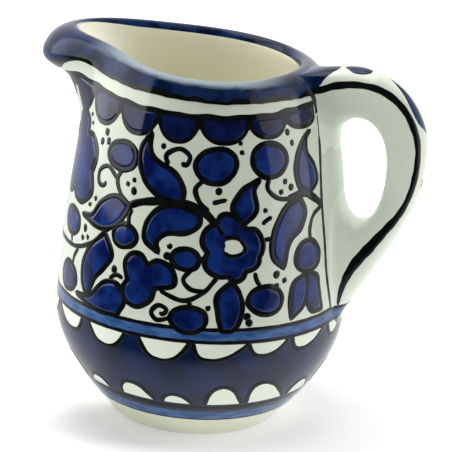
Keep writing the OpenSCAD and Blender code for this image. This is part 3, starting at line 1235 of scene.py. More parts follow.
@dataclass
class Ornament:
    """Blue flowers, leaves and berries with black outlines and vines, drawn on both sides.

    A leaf or flower is a list of runs of points that meet at its corners. A berry has its middle and half
    sizes.
    """

    skin: JugSkin

    leaves: Sequence[Runs] = (
        (((-131.5, 66), (-125, 67), (-119.5, 72), (-112, 74.8), (-104.5, 73)),
         ((-104.5, 73), (-110, 67), (-118, 64.5), (-131.5, 66))),
        (((-115, 63.5), (-110.5, 58), (-114, 53.4), (-118.3, 49.5), (-120.5, 45.8), (-122.5, 43.5)),
         ((-122.5, 43.5), (-125.5, 47), (-126.3, 52.5), (-122.5, 58.5), (-115, 63.5))),
        (((-98.5, 94.5), (-98, 89.5), (-94, 86.8), (-87, 84.6), (-82.5, 80.5), (-82.3, 76.6)),
         ((-82.3, 76.6), (-90, 77), (-97, 79.5), (-102, 85), (-102.3, 90), (-98.5, 94.5))),
        (((-75, 73.5), (-84, 75.4), (-91, 74.2), (-96, 70), (-96.5, 65), (-90.5, 61.8)),
         ((-90.5, 61.8), (-91.5, 64.5), (-88.5, 67.2), (-79, 68.5), (-75, 71), (-75, 73.5))),
        (((-129, 42.6), (-120, 44), (-113, 49.5), (-107, 50.3), (-102.7, 46.5), (-105.5, 41)),
         ((-105.5, 41), (-115, 40.6), (-129, 42.6))),
        (((-51, 83.5), (-58, 80.8), (-62, 75.5), (-57.5, 71)),
         ((-57.5, 71), (-52.3, 75), (-53.4, 80.5), (-51, 83.5))),
        (((-21.5, 95), (-28.5, 92), (-33, 86), (-31.5, 80.3), (-26.5, 77.8)),
         ((-26.5, 77.8), (-20.6, 80.5), (-21.5, 85), (-26, 89.5), (-25, 93.3), (-21.5, 95))),
        (((-31, 77), (-28.5, 73), (-31, 68.5), (-37, 65), (-40, 57.8)),
         ((-40, 57.8), (-45, 61.5), (-44.3, 68.5), (-38, 75.5), (-31, 77))),
        (((-61.5, 54.8), (-66.7, 51), (-65.8, 45), (-64.5, 40.5)),
         ((-64.5, 40.5), (-60, 40.8), (-57, 46.5), (-58.3, 51.5), (-61.5, 54.8))),
        (((-28.5, 55), (-35, 52.7), (-36.7, 47), (-35.8, 42.5)),
         ((-35.8, 42.5), (-30, 45.5), (-28, 50), (-28.5, 55))),
        (((-28, 55), (-22, 53), (-20.8, 49), (-18.5, 42.5)),
         ((-18.5, 42.5), (-25, 43.2), (-28.5, 47.5), (-28, 55))),
        (((-178.5, 57), (-172, 61), (-168.5, 66.5), (-169.5, 73)),
         ((-169.5, 73), (-176, 68.5), (-178.5, 57))),
        (((-178.5, 56), (-171.5, 52), (-168, 47), (-168.5, 42.5)),
         ((-168.5, 42.5), (-175.5, 46.5), (-178.5, 56))),
    )
    flowers: Sequence[Runs] = (
        (((-102, 52.3), (-103.8, 57), (-101.5, 59.9), (-97.5, 60.2), (-94, 57.6)),
         ((-94, 57.6), (-90, 59.4), (-84.5, 57.5), (-83.3, 53.2), (-90.5, 51.5)),
         ((-90.5, 51.5), (-92, 48), (-97, 45.3), (-102, 46.3), (-103.7, 49.8), (-102, 52.3))),
        (((-68, 71.2), (-66.8, 73.4), (-64.4, 73.9), (-60.7, 72.9), (-57.9, 70.7), (-56, 69.8)),
         ((-56, 69.8), (-53, 69.6), (-50.8, 68.2), (-49.4, 65.5), (-49.7, 63), (-50.7, 61.8)),
         ((-50.7, 61.8), (-50.9, 60.2), (-52, 59), (-53.6, 58.3), (-56.3, 57.9)),
         ((-56.3, 57.9), (-57.1, 56.2), (-58.4, 55.4), (-59.9, 55.1), (-61.5, 55.8), (-63, 56.6)),
         ((-63, 56.6), (-66, 56.4), (-69.9, 57.6), (-71.7, 59.1), (-72, 60.8), (-71.1, 63.1)),
         ((-71.1, 63.1), (-73, 65), (-73.5, 67), (-72.5, 69.2), (-70.4, 70.5), (-68, 71.2))),
        (((-153, 86.5), (-150.5, 92.5), (-145, 94.2), (-139.5, 92), (-138.5, 88.6)),
         ((-138.5, 88.6), (-133, 88.6), (-127.8, 84.5), (-129.3, 78.5)),
         ((-129.3, 78.5), (-127.3, 73), (-134, 69), (-141, 69.3), (-145, 71)),
         ((-145, 71), (-150, 69.3), (-159, 70), (-162.5, 74.5), (-160.5, 79)),
         ((-160.5, 79), (-162.5, 84.5), (-158, 88), (-153, 86.5))),
    )
    berries: Sequence[Sequence[float]] = (
        (-111.8, 86.4, 7.5, 4.0),
        (-105.6, 64.5, 5.2, 3.3),
        (-69.5, 87.2, 8.5, 4.6),
        (-79.5, 60.8, 5.0, 3.0),
        (-77.0, 43.5, 7.0, 3.5),
        (-46.0, 88.6, 8.5, 4.4),
        (-27.3, 59.8, 7.0, 4.3),
        (-47.5, 49.0, 7.0, 4.1),
        (-140.5, 62.2, 8.0, 3.5),
        (-137.0, 46.0, 6.5, 4.3),
        (-171.0, 84.0, 5.5, 4.2),
    )
    stems: Sequence[Run] = (
        ((-180, 56.5), (-165, 54.6), (-150, 55), (-132, 56), (-121, 60), (-116, 63.8), (-113, 65.5)),
        ((-139, 58.5), (-137.5, 56)),
        ((-134.5, 50), (-133.5, 53), (-131, 55.6)),
        ((-112.5, 79.5), (-119, 82.2), (-124, 80.2), (-123.2, 76.7), (-120, 76.5), (-119, 77.9)),
        ((-111, 82.3), (-112.6, 79.5), (-110, 75.8), (-104.5, 73)),
        ((-104, 67.5), (-104.5, 70), (-103.5, 72.5)),
        ((-89.5, 86.3), (-90.8, 89), (-85, 91.2), (-80.7, 89.3), (-82, 86.9), (-84.2, 87.4)),
        ((-74.5, 83.2), (-77.5, 80.5), (-75.5, 77), (-71.5, 74.5)),
        ((-77, 58), (-79.8, 55), (-77, 52.5), (-71, 51.9)),
        ((-67, 56.2), (-72, 51.7), (-79, 49), (-88.5, 51)),
        ((-110.5, 51), (-107.5, 52.8), (-104, 52.3)),
        ((-84, 43.5), (-89, 42.5), (-91.2, 44.5), (-88.5, 46.8), (-85.3, 45.8), (-86.8, 44.3), (-88, 44.9)),
        ((-76.8, 46.8), (-76.9, 49)),
        ((-46.5, 84), (-47.4, 81), (-43, 78), (-37, 77.3), (-30, 78)),
        ((-18, 73), (-23.5, 71.2), (-26, 67.5), (-25.8, 64)),
        ((-49, 66.5), (-45.5, 66.6)),
        ((-52.5, 57.5), (-51.5, 55), (-49.5, 52.8)),
        ((-74.3, 61), (-71.8, 61.6)),
        ((-70.5, 76.9), (-67.5, 77.5), (-64.5, 78)),
        ((-49.7, 70.8), (-48.3, 71.7), (-47.2, 72.2), (-45.2, 72.7)),
        ((-128.5, 69.2), (-126, 70)),
        ((-105, 81), (-103.2, 80)),
        ((-101, 93.6), (-99.3, 92), (-98.9, 94.8)),
        ((-171.5, 79.5), (-174.5, 76), (-177.5, 71), (-179, 64)),
    )
    vines: Sequence[Run] = (
        ((-106, 72.8), (-100, 74.8), (-90, 76.2), (-81, 76.3), (-75, 75), (-71.5, 73.2), (-68.6, 71)),
        ((-38, 77.3), (-29, 78.2), (-23, 76.2), (-17.4, 73.4)),
    )
    dots: Run = (
        (-128, 62.4), (-129, 59.4), (-125.5, 60.2), (-123.2, 91.4), (-121.2, 89), (-125.5, 88.3),
        (-141, 93.2), (-138, 94.2), (-136, 91.8), (-124, 72), (-107, 79), (-103.7, 77.5),
        (-92.4, 91.4), (-68, 80.3), (-86, 64), (-86.7, 61.2), (-108.5, 54.2), (-69.9, 47.3),
        (-59.5, 93.5), (-58.8, 91), (-48.3, 74.7), (-39, 82.3), (-36, 80.5), (-41, 79.5),
        (-36, 95.6), (-34, 92.6), (-43.2, 56.2), (-39.5, 54.2), (-43, 53), (-54.9, 44.7), (-54, 42.8),
        (-177, 80), (-176, 45), (-163, 62.5), (-164, 65.5),
    )
    specks: Run = ((-48, 79.2), (-82.5, 55.8), (-61.5, 79.5), (-14, 69.3))
    petal_lines: Sequence[Run] = (
        ((-68, 71), (-66.6, 69.4), (-65.4, 68)),
        ((-65.6, 67.6), (-63.5, 67.5), (-60.7, 67.5), (-58.6, 67.1)),
        ((-58.8, 67), (-57.4, 65.6), (-56.4, 64.1), (-57.2, 63.1)),
        ((-57, 63.3), (-59.2, 62.5), (-61.3, 62.2), (-63.4, 62.6), (-65.2, 63.6)),
    )
    flower_eye: Run = ((-65.3, 66.3), (-63.2, 67), (-60.4, 67), (-58.7, 66.3), (-57, 64.1), (-58.6, 63.2),
                       (-61.3, 62.7), (-63.6, 63), (-65.3, 64), (-64.6, 65.3))
    panel_edge: Run = ((-10.6, 100.6), (-11.6, 99), (-13, 96.8), (-15.2, 91.2), (-17, 83.1), (-17.2, 73.3),
                       (-16.2, 62.5), (-15, 51.7), (-11, 40.8))

    outline: Line = Line(1.8)
    stem: Line = Line(1.45)
    vine: Line = Line(2.3)
    edge: Line = Line(1.25)
    petal: Line = Line(1.5, height=0.3)
    dot: Puddle = Puddle(height=0.14, edge=0.7, margin=0.0, grain=0.9)
    eye: Puddle = Puddle(height=0.26, edge=0.4, margin=0.0)
    puddle: Puddle = Puddle()
    oval_points: int = 10
    uneven: Point = (0.05, 0.03)
    dot_size: Point = (1.12, 0.18)
    dot_wave: float = 1.7
    dot_oval: Point = (1.25, 1.05)
    speck_oval: Point = (0.9, 0.6)

    def _loop(self, runs: Runs, side: Side) -> tuple[np.ndarray, np.ndarray]:
        """Closed outline of some runs on a side, and the millimetres per unit."""
        return self.skin.loop([side.place(run) for run in runs])

    def _oval(self, berry: Sequence[float], side: Side) -> tuple[np.ndarray, np.ndarray]:
        """Closed, slightly uneven oval.

        Args:
            berry: angle, height and half sizes.
            side: the side of the jug.

        Returns:
            Flat points in millimetres, and the millimetres per unit.
        """
        a, z, half_a, half_z = berry
        t = np.linspace(0, 2 * math.pi, self.oval_points + 1)[:-1]
        swell = 1 + self.uneven[0] * np.sin(2 * t + a) + self.uneven[1] * np.sin(3 * t + z)
        drawn = np.stack([a + half_a * swell * np.cos(t), z + half_z * swell * np.sin(t)], -1)
        return self.skin.loop([side.place([tuple(p) for p in drawn])], True)

    def _stroke(self, line: Line, batch: Batch, run: Run, side: Side) -> None:
        """Draws an open line through points."""
        line.draw(batch, self.skin, self.skin.path(side.place(run)))

    def build(self) -> None:
        """Makes the fills, outlines, vines and dots of both sides."""
        names = ("leaf_puddles", "flower_puddles", "berry_puddles", "black_outlines", "black_vines",
                 "black_dots", "blue_specks", "white_flower_eyes")
        batches = {name: Batch() for name in names}
        for side in Side:
            self._closed_shapes(batches, side)
            lines = ((self.stem, self.stems), (self.vine, self.vines), (self.edge, [self.panel_edge]))
            for line, runs in lines:
                for run in runs:
                    self._stroke(line, batches["black_vines"], run, side)
            self._spots(batches, side)
        for name in names[:3]:
            batches[name].piece(name, COBALT)
        for name in names[3:6]:
            batches[name].piece(name, BLACK)
        batches["blue_specks"].piece("blue_specks", WASH)
        batches["white_flower_eyes"].piece("white_flower_eyes", WHITE)

    def _closed_shapes(self, batches: dict[str, Batch], side: Side) -> None:
        """Leaves, flowers and berries of one side, each with its outline."""
        shapes = [("leaf_puddles", self._loop(runs, side)) for runs in self.leaves]
        shapes += [("flower_puddles", self._loop(runs, side)) for runs in self.flowers]
        shapes += [("berry_puddles", self._oval(berry, side)) for berry in self.berries]
        for name, (loop, scale) in shapes:
            self.puddle.fill(batches[name], self.skin, loop, scale)
            self.outline.draw(batches["black_outlines"], self.skin, loop / scale, True)
        loop, scale = self.skin.loop([side.place(self.flower_eye)], True)
        self.eye.fill(batches["white_flower_eyes"], self.skin, loop, scale)
        for run in self.petal_lines:
            self._stroke(self.petal, batches["black_outlines"], run, side)

    def _spots(self, batches: dict[str, Batch], side: Side) -> None:
        """Dots and pale specks of one side."""
        for a, z in self.dots:
            size = self.dot_size[0] + self.dot_size[1] * math.sin(a * self.dot_wave + z)
            oval, scale = self._oval((a, z, *(size * share for share in self.dot_oval)), side)
            self.dot.fill(batches["black_dots"], self.skin, oval, scale)
        for a, z in self.specks:
            oval, scale = self._oval((a, z, *self.speck_oval), side)
            self.dot.fill(batches["blue_specks"], self.skin, oval, scale)


@dataclass
class PaintedBands:
    """The blue lip, the scallops under it, and the belt with its white half-rounds."""

    skin: JugSkin
    columns: int = 720

    lip_edge: Run = (
        (-180, 102.6), (-169, 102.6), (-163, 103.4), (-157, 106.9), (-153, 108.7), (-149, 108.2),
        (-142, 107.4), (-134, 106.5), (-124, 106.1), (-112, 105.6), (-100, 105.3), (-87, 105), (-76, 104.6),
        (-66, 104.3), (-54, 104.1), (-40, 104.1), (-23, 104.2), (-12, 103.8), (0, 103.8),
    )
    scallop_top: Run = (
        (-180, 100.8), (-165, 101.6), (-157, 103.5), (-151, 103.7), (-144, 103.2), (-130, 102.2),
        (-118, 101.5), (-100, 101), (-80, 100.7), (-60, 100.6), (-39, 100.9), (-30, 101.6), (-13, 101.8),
        (0, 101.8),
    )
    scallops: Sequence[Triple] = (
        (-188.3, -171.7, 93.5), (-171.7, -160, 94.6), (-157, -138.5, 93.8), (-138.5, -116.5, 93.2),
        (-116.5, -96, 93.3), (-96, -77.5, 93), (-77.5, -55.5, 93.3), (-55.5, -36, 94.6), (-36, -14.5, 96.2),
    )
    cusp_drop: float = 2.7
    hanging: Sequence[Sequence[float]] = (
        (180, 8.5, 31.3, 0), (-156, 8.5, 31.5, 0.2), (-133.5, 8.6, 31.3, 0.3), (-110.5, 8, 30.9, 0.06),
        (-85.8, 8.8, 30.1, -0.05), (-63.9, 9.4, 31.2, -0.38), (-44.9, 7.5, 32, -0.3),
        (-25.5, 7.9, 32, -0.45), (-6.5, 5.5, 32, -0.3),
    )
    rising: Sequence[Sequence[float]] = (
        (180, 8, 20.5, 0), (-162, 7, 19, 0.1), (-142, 8, 21, 0.1), (-121, 6.5, 18, 0.1),
        (-99, 8, 20.1, -0.12), (-80.5, 6.5, 18.1, -0.08), (-60, 8, 21.8, -0.12), (-39.5, 9.5, 22.5, -0.45),
        (-20, 7, 19.5, 0), (0, 8, 21.5, 0),
    )
    bowl: Run = ((-1.12, 0), (-0.9, 0.42), (-0.52, 0.86), (0, 1), (0.52, 0.86), (0.9, 0.42), (1.12, 0))
    fin: Run = ((-1, 0), (-0.86, 0.48), (-0.48, 0.9), (0, 1), (0.45, 0.82), (0.82, 0.36), (1.08, 0))
    mid_belt: float = 26.0
    belt_top: float = 40.3
    belt_split: float = 36.6
    hang_line: float = 36.2
    rise_line: float = 14.6
    belt_foot: float = 11.3
    belt_edge: float = 7.8
    dark_line: float = 13.0
    foot_rows: float = 3.5
    sway_size: Point = (0.55, 0.15)
    sway_turn: float = 40.0
    sway_waves: int = 3
    ease_angle: float = 6.0
    ease_steps: int = 9
    lip_rows: Point = (3.5, 7.0)
    far_lip: Point = (0.15, 1.6)
    blotches: Sequence[Triple] = ((0.45, 7, 1), (0.35, 17, 0), (0.25, 41, 2))
    blotch_edges: Run = ((1.1, 1.0), (-0.35, 0.2))
    scallop_round: Point = (2.4, 0.75)
    scallop_steps: int = 60
    scallop_span: Point = (0.03, 0.97)
    scallop_drop: float = 0.3
    under_handle: Run = ((-14.5, 101.6), (0, 101.6))
    ground_room: float = 0.5
    ground_waver: Triple = (0.25, 23, 5)

    lip_coat: Coat = Coat(0.16, steps=40)
    lip_line: Coat = Coat(0.2)
    ground: Coat = Coat(0.1, steps=20)
    belt_coat: Coat = Coat(0.07, steps=60)
    wash_coat: Coat = Coat(0.09)
    foot_coat: Coat = Coat(0.05)
    scallop: Puddle = Puddle(margin=0.55, height=0.24)
    half_round: Puddle = Puddle(height=0.13, edge=0.3, margin=0.0)
    half_round_edge: Line = Line(1.55, height=0.18)
    top_ring: Line = Line(1.25)
    split_ring: Line = Line(1.35)
    dark_ring: Line = Line(2.6, uneven=0.2)
    edge_ring: Line = Line(0.8)

    def __post_init__(self) -> None:
        """Angles of the columns that the bands are laid by."""
        self.round = np.linspace(-180, 180, self.columns, endpoint=False)

    def sway(self, a: np.ndarray) -> np.ndarray:
        """How far the hand let the painted rings wander up and down."""
        slow, quick = self.sway_size
        wave = np.sin(np.radians(self.sway_waves * a))
        return slow * np.cos(np.radians(a + self.sway_turn)) + quick * wave

    def _height(self, run: Run, a: np.ndarray) -> np.ndarray:
        """Height of a mirrored ring line at each angle, eased at its points."""
        x, z = np.array(run).T
        spread = np.linspace(-self.ease_angle, self.ease_angle, self.ease_steps)
        around = np.abs((np.asarray(a)[..., None] + spread + 180) % 360 - 180)
        return np.interp(-around, x, z).mean(-1)

    def _edge(self, z: np.ndarray) -> np.ndarray:
        """Rows and columns of the skin's grid at heights all round."""
        return np.stack([self.skin.row_of(self.round, z), self.skin.column_of(self.round)], -1)

    def _ring(self, batch: Batch, line: Line, z: float) -> None:
        """Draws a swaying ring line at a height."""
        line.draw(batch, self.skin, np.stack([self.round, z + self.sway(self.round)], -1), True)

    def build(self) -> None:
        """Makes the lip, the scallops and the belt."""
        black = Batch()
        self._lip(black)
        self._scallops(black)
        self._belt(black)
        black.piece("black_band_lines", BLACK)

    def _lip(self, black: Batch) -> None:
        """Blue coat over the lip, with a blotchy black lower edge."""
        a = np.radians(self.round)
        z = self._height(self.lip_edge, self.round)
        lower = self._edge(z)
        upper = lower.copy()
        far = np.clip(self.far_lip[0] + self.far_lip[1] * np.sin(a), 0, 1)
        upper[:, 0] = self.skin.marks["crest"] + self.lip_rows[0] + self.lip_rows[1] * ease(far)
        batch = Batch()
        self.lip_coat.lay(batch, self.skin, upper, lower, True)
        batch.piece("blue_lip", LIP)
        blotch = sum(size * np.sin(waves * a + start) for size, waves, start in self.blotches)
        edges = [self._edge(z + lift + share * blotch) for lift, share in self.blotch_edges]
        self.lip_line.lay(black, self.skin, *edges, True)

    def _arc(self, scallop: Triple, share: np.ndarray) -> np.ndarray:
        """Angles and heights along the lower edge of a scallop."""
        left, right, bottom = scallop
        a = mix(left, right, share)
        ends = (self._height(self.scallop_top, np.array(x)) - self.cusp_drop for x in (left, right))
        outer, inner = self.scallop_round
        fall = (1 - np.abs(2 * share - 1) ** outer) ** inner
        return np.stack([a, mix(mix(*ends, share), bottom, fall)], -1)

    def _scallops(self, black: Batch) -> None:
        """Row of blue scallops on a black ground, which hang from a line under the white band."""
        top = self._height(self.scallop_top, self.round)
        share = np.linspace(0, 1, self.scallop_steps)[:-1]
        x, z = np.vstack([self._arc(s, share) for s in self.scallops] + [self.under_handle]).T
        low = np.interp(-np.abs(self.round), x, z)
        low = (np.roll(low, 1) + 2 * low + np.roll(low, -1)) / 4
        size, quick, slow = self.ground_waver
        uneven = size * np.sin(np.radians(self.round) * quick) * np.cos(np.radians(self.round) * slow)
        upper = self._edge(top + self.ground_room + uneven)
        self.ground.lay(black, self.skin, upper, self._edge(low - self.ground_room), True)
        batch = Batch()
        for side in Side:
            for scallop in self.scallops[0 if side is Side.NEAR else 1 :]:
                width = (scallop[1] - scallop[0]) * math.pi / 180 * self.skin.form.neck_r
                arc = self._arc(scallop, np.linspace(*self.scallop_span, round(width / STROKE_STEP)))
                back = arc[::-1, 0]
                head = self._height(self.scallop_top, back) - self.scallop_drop
                loop = np.vstack([arc, np.stack([back, head], -1)])
                loop[:, 0] *= side.value
                scale = self.skin.scale(loop)
                self.scallop.fill(batch, self.skin, loop * scale, scale)
        batch.piece("blue_scallops", RIM)

    def _belt(self, black: Batch) -> None:
        """Dark blue belt between two pale blue lines, with white half-rounds along both."""
        sway = self.sway(self.round)
        top, split, foot, edge = (
            self._edge(z + sway) for z in (self.belt_top, self.belt_split, self.belt_foot, self.belt_edge)
        )
        field, wash, white, pale = (Batch() for _ in range(4))
        self.belt_coat.lay(field, self.skin, split, foot, True)
        self.wash_coat.lay(wash, self.skin, top, split, True)
        self.wash_coat.lay(wash, self.skin, foot, edge, True)
        # Foot band coat: a lighter, warmer colour that is partly painted floor light.
        stand = edge.copy()
        stand[:, 0] = self.skin.marks["foot"] - self.foot_rows
        self.foot_coat.lay(pale, self.skin, edge, stand, True)
        pale.piece("pale_foot", FOOT_GLAZE_AND_LIGHT)
        for side in Side:
            for shapes, level in ((self.hanging, self.hang_line), (self.rising, self.rise_line)):
                for shape in shapes:
                    self._half_round(white, black, shape, level, side)
        field.piece("blue_belt", BELT)
        wash.piece("pale_blue_lines", WASH)
        # The half-rounds' white is the lighter copy of the glaze: painted light.
        white.piece("white_half_rounds", LIT_WHITE)
        for line, z in ((self.top_ring, self.belt_top), (self.split_ring, self.belt_split),
                        (self.dark_ring, self.dark_line), (self.edge_ring, self.belt_edge)):
            self._ring(black, line, z)

    def _half_round(self, white: Batch, black: Batch, half_round: Sequence[float], level: float,
                    side: Side) -> None:
        """White half-round with a black edge.

        Args:
            white: where the white part goes.
            black: where its edge goes.
            half_round: its angle, half its width in degrees, the height of its tip and how far it leans.
            level: height of its straight side.
            side: the side of the jug.
        """
        middle, half, tip, lean = half_round
        if side is Side.FAR and middle in (0, 180):
            return
        profile = self.bowl if tip > self.mid_belt else self.fin
        shape = [(u + lean * v, v) for u, v in profile]
        sway = float(self.sway(np.array(middle * side.value)))
        drawn = [(middle + half * u, mix(level, tip, v) + sway) for u, v in shape]
        arc = np.array(side.place(drawn))
        scale = self.skin.scale(arc)
        curve = flowing(arc * scale, STROKE_STEP)
        chord = mix(curve[-1], curve[0], np.linspace(0, 1, len(curve) // 2)[1:-1, None])
        self.half_round.fill(white, self.skin, np.vstack([curve, chord]), scale)
        self.half_round_edge.draw(black, self.skin, curve / scale)


@dataclass
class HandlePaint:
    """Black lines along the edges of the handle's spine, blue dabs between, and the bands over its ends."""

    bar: HandleSkin
    bands: PaintedBands
    edge_line: Run = (
        (0, 66), (2.6, 66), (5, 65), (8, 62), (12.3, 61.5), (19, 60.5), (25.5, 57.5), (33.3, 53.5),
        (40.5, 50), (45, 47.3), (51.2, 48.5), (58, 51), (63.8, 56.5), (67.9, 63.5), (72.2, 72), (77.7, 75.5),
        (84.4, 73.5), (91.1, 71), (96.7, 67), (100.5, 62), (103.5, 55), (105.6, 45.5), (106.2, 41),
    )
    panel_head: Run = ((1.3, 66), (0.9, 73), (0.65, 79), (0.4, 85), (0.25, 91), (0.1, 98))
    line_swell: Run = ((0, 1.0), (20, 0.92), (68, 0.92), (80, 1.35), (96, 1.35), (107, 0.45))
    rim_end: Run = (
        (-64, 3.0), (-58, 4.3), (-45, 6.1), (-34, 7.6), (-21, 9.4), (-8, 10), (10, 9.8), (30, 8.4),
        (50, 5.4), (64, 3),
    )
    dabs: Sequence[Runs] = (
        (((11, -8), (12.2, 13), (15.5, 14), (19.6, -4)),
         ((19.6, -4), (19.2, -27), (17, -36), (14, -33), (11, -8))),
        (((24.2, -10), (27.4, -9), (31.3, -7), (36.1, -5), (40.2, 3), (45.3, 22)),
         ((45.3, 22), (40.9, -30), (36.1, -37), (31.3, -30), (27.2, -20), (24.2, -10))),
        (((57.3, 2), (59.3, 14), (61.5, 15)), ((61.5, 15), (60, -1), (57.3, 2))),
    )
    line: Line = Line(2.2, height=0.14)
    head_line: Line = Line(1.6)
    head_step: float = 0.3
    dab: Puddle = Puddle(height=0.13, edge=0.5, margin=0.0, grain=1.0)
    rim_coat: Coat = Coat(0.12)
    belt_coat: Coat = Coat(0.1)
    belt_line: Coat = Coat(0.14, steps=8)
    line_half: float = 0.5
    wash_angle: float = 46.0
    field_angle: float = 30.0
    field_drop: float = 20.0
    coat_columns: tuple[int, int] = (60, 40)

    def build(self) -> None:
        """Makes the lines, the dabs and the bands."""
        black, blue = Batch(), Batch()
        for turn in (-1, 1):
            path = self.bar.path([(u, turn * v) for u, v in self.edge_line])
            swell = np.interp(path[:, 0], *np.array(self.line_swell).T)
            self.line.draw(black, self.bar, path, widths=swell)
            path = self.bar.path([(u, turn * v) for u, v in self.panel_head], self.head_step)
            self.head_line.draw(black, self.bar, path)
        for runs in self.dabs:
            self.dab.fill(blue, self.bar, *self.bar.loop(runs))
        self._rim(blue)
        self._belt(black)
        black.piece("handle_black_lines", BLACK)
        blue.piece("handle_blue_dabs", LIP)

    def _rim(self, blue: Batch) -> None:
        """Blue of the lip, run out on the top of the handle."""
        v, u = np.array(self.rim_end).T
        fine = np.linspace(v[0], v[-1], self.coat_columns[0])
        start, end = (self.bar.grid_place(run, fine) for run in (0, np.interp(fine, v, u)))
        self.rim_coat.lay(blue, self.bar, start, end, False)

    def _level(self, v: np.ndarray, z: float) -> np.ndarray:
        """Rows and columns where the tail passes a height of the belt."""
        rows = np.arange(len(self.bar.run) * 2 // 3, len(self.bar.run))
        place = np.stack(np.meshgrid(v, rows), -1)
        heights = self.bar.pick(place[..., 1], place[..., 0] / 360 * self.bar.sides)[0][..., 2]
        row = [np.interp(-z, -heights[:, k], rows) for k in range(len(v))]
        return np.stack([row, v / 360 * self.bar.sides], -1)

    def _belt(self, black: Batch) -> None:
        """The belt's bands where they cross the tail."""
        sway = float(self.bands.sway(np.array(0.0)))
        top, split = self.bands.belt_top + sway, self.bands.belt_split + sway
        wash, field = Batch(), Batch()
        wide = np.linspace(-self.wash_angle, self.wash_angle, self.coat_columns[0])
        slim = np.linspace(-self.field_angle, self.field_angle, self.coat_columns[1])
        half = self.line_half
        for coat, batch, v, high, low in (
            (self.belt_coat, wash, wide, top, split),
            (self.belt_line, black, wide, top + half, top - half),
            (self.belt_line, black, slim, split + half, split - half),
            (self.belt_coat, field, slim, split, split - self.field_drop),
        ):
            coat.lay(batch, self.bar, self._level(v, high), self._level(v, low), False)
        wash.piece("pale_blue_on_tail", WASH)
        field.piece("blue_belt_on_tail", BELT)


# Studio


@dataclass(frozen=True)
class SoftBox:
    """A rectangular light that faces the jug, with its place and size in metres and its brightness."""

    name: str
    place: Triple
    size: Point
    radiance: float
    mirrored: bool = True
    target: Triple = (0.0, 0.0, 0.06)

    def build(self) -> None:
        """Makes the light, which the camera doesn't see."""
        data = bpy.data.lights.new(self.name, "AREA")
        data.shape = "RECTANGLE"
        data.size, data.size_y = self.size
        data.energy = self.radiance * math.pi * self.size[0] * self.size[1]
        light = bpy.data.objects.new(self.name, data)
        bpy.context.scene.collection.objects.link(light)
        light.location = self.place
        look = Vector(self.target) - Vector(self.place)
        light.rotation_euler = look.to_track_quat("-Z", "Y").to_euler()
        light.visible_camera = False
        light.visible_glossy = self.mirrored
        LOG.info("%s: radiance %.2f", self.name, self.radiance)


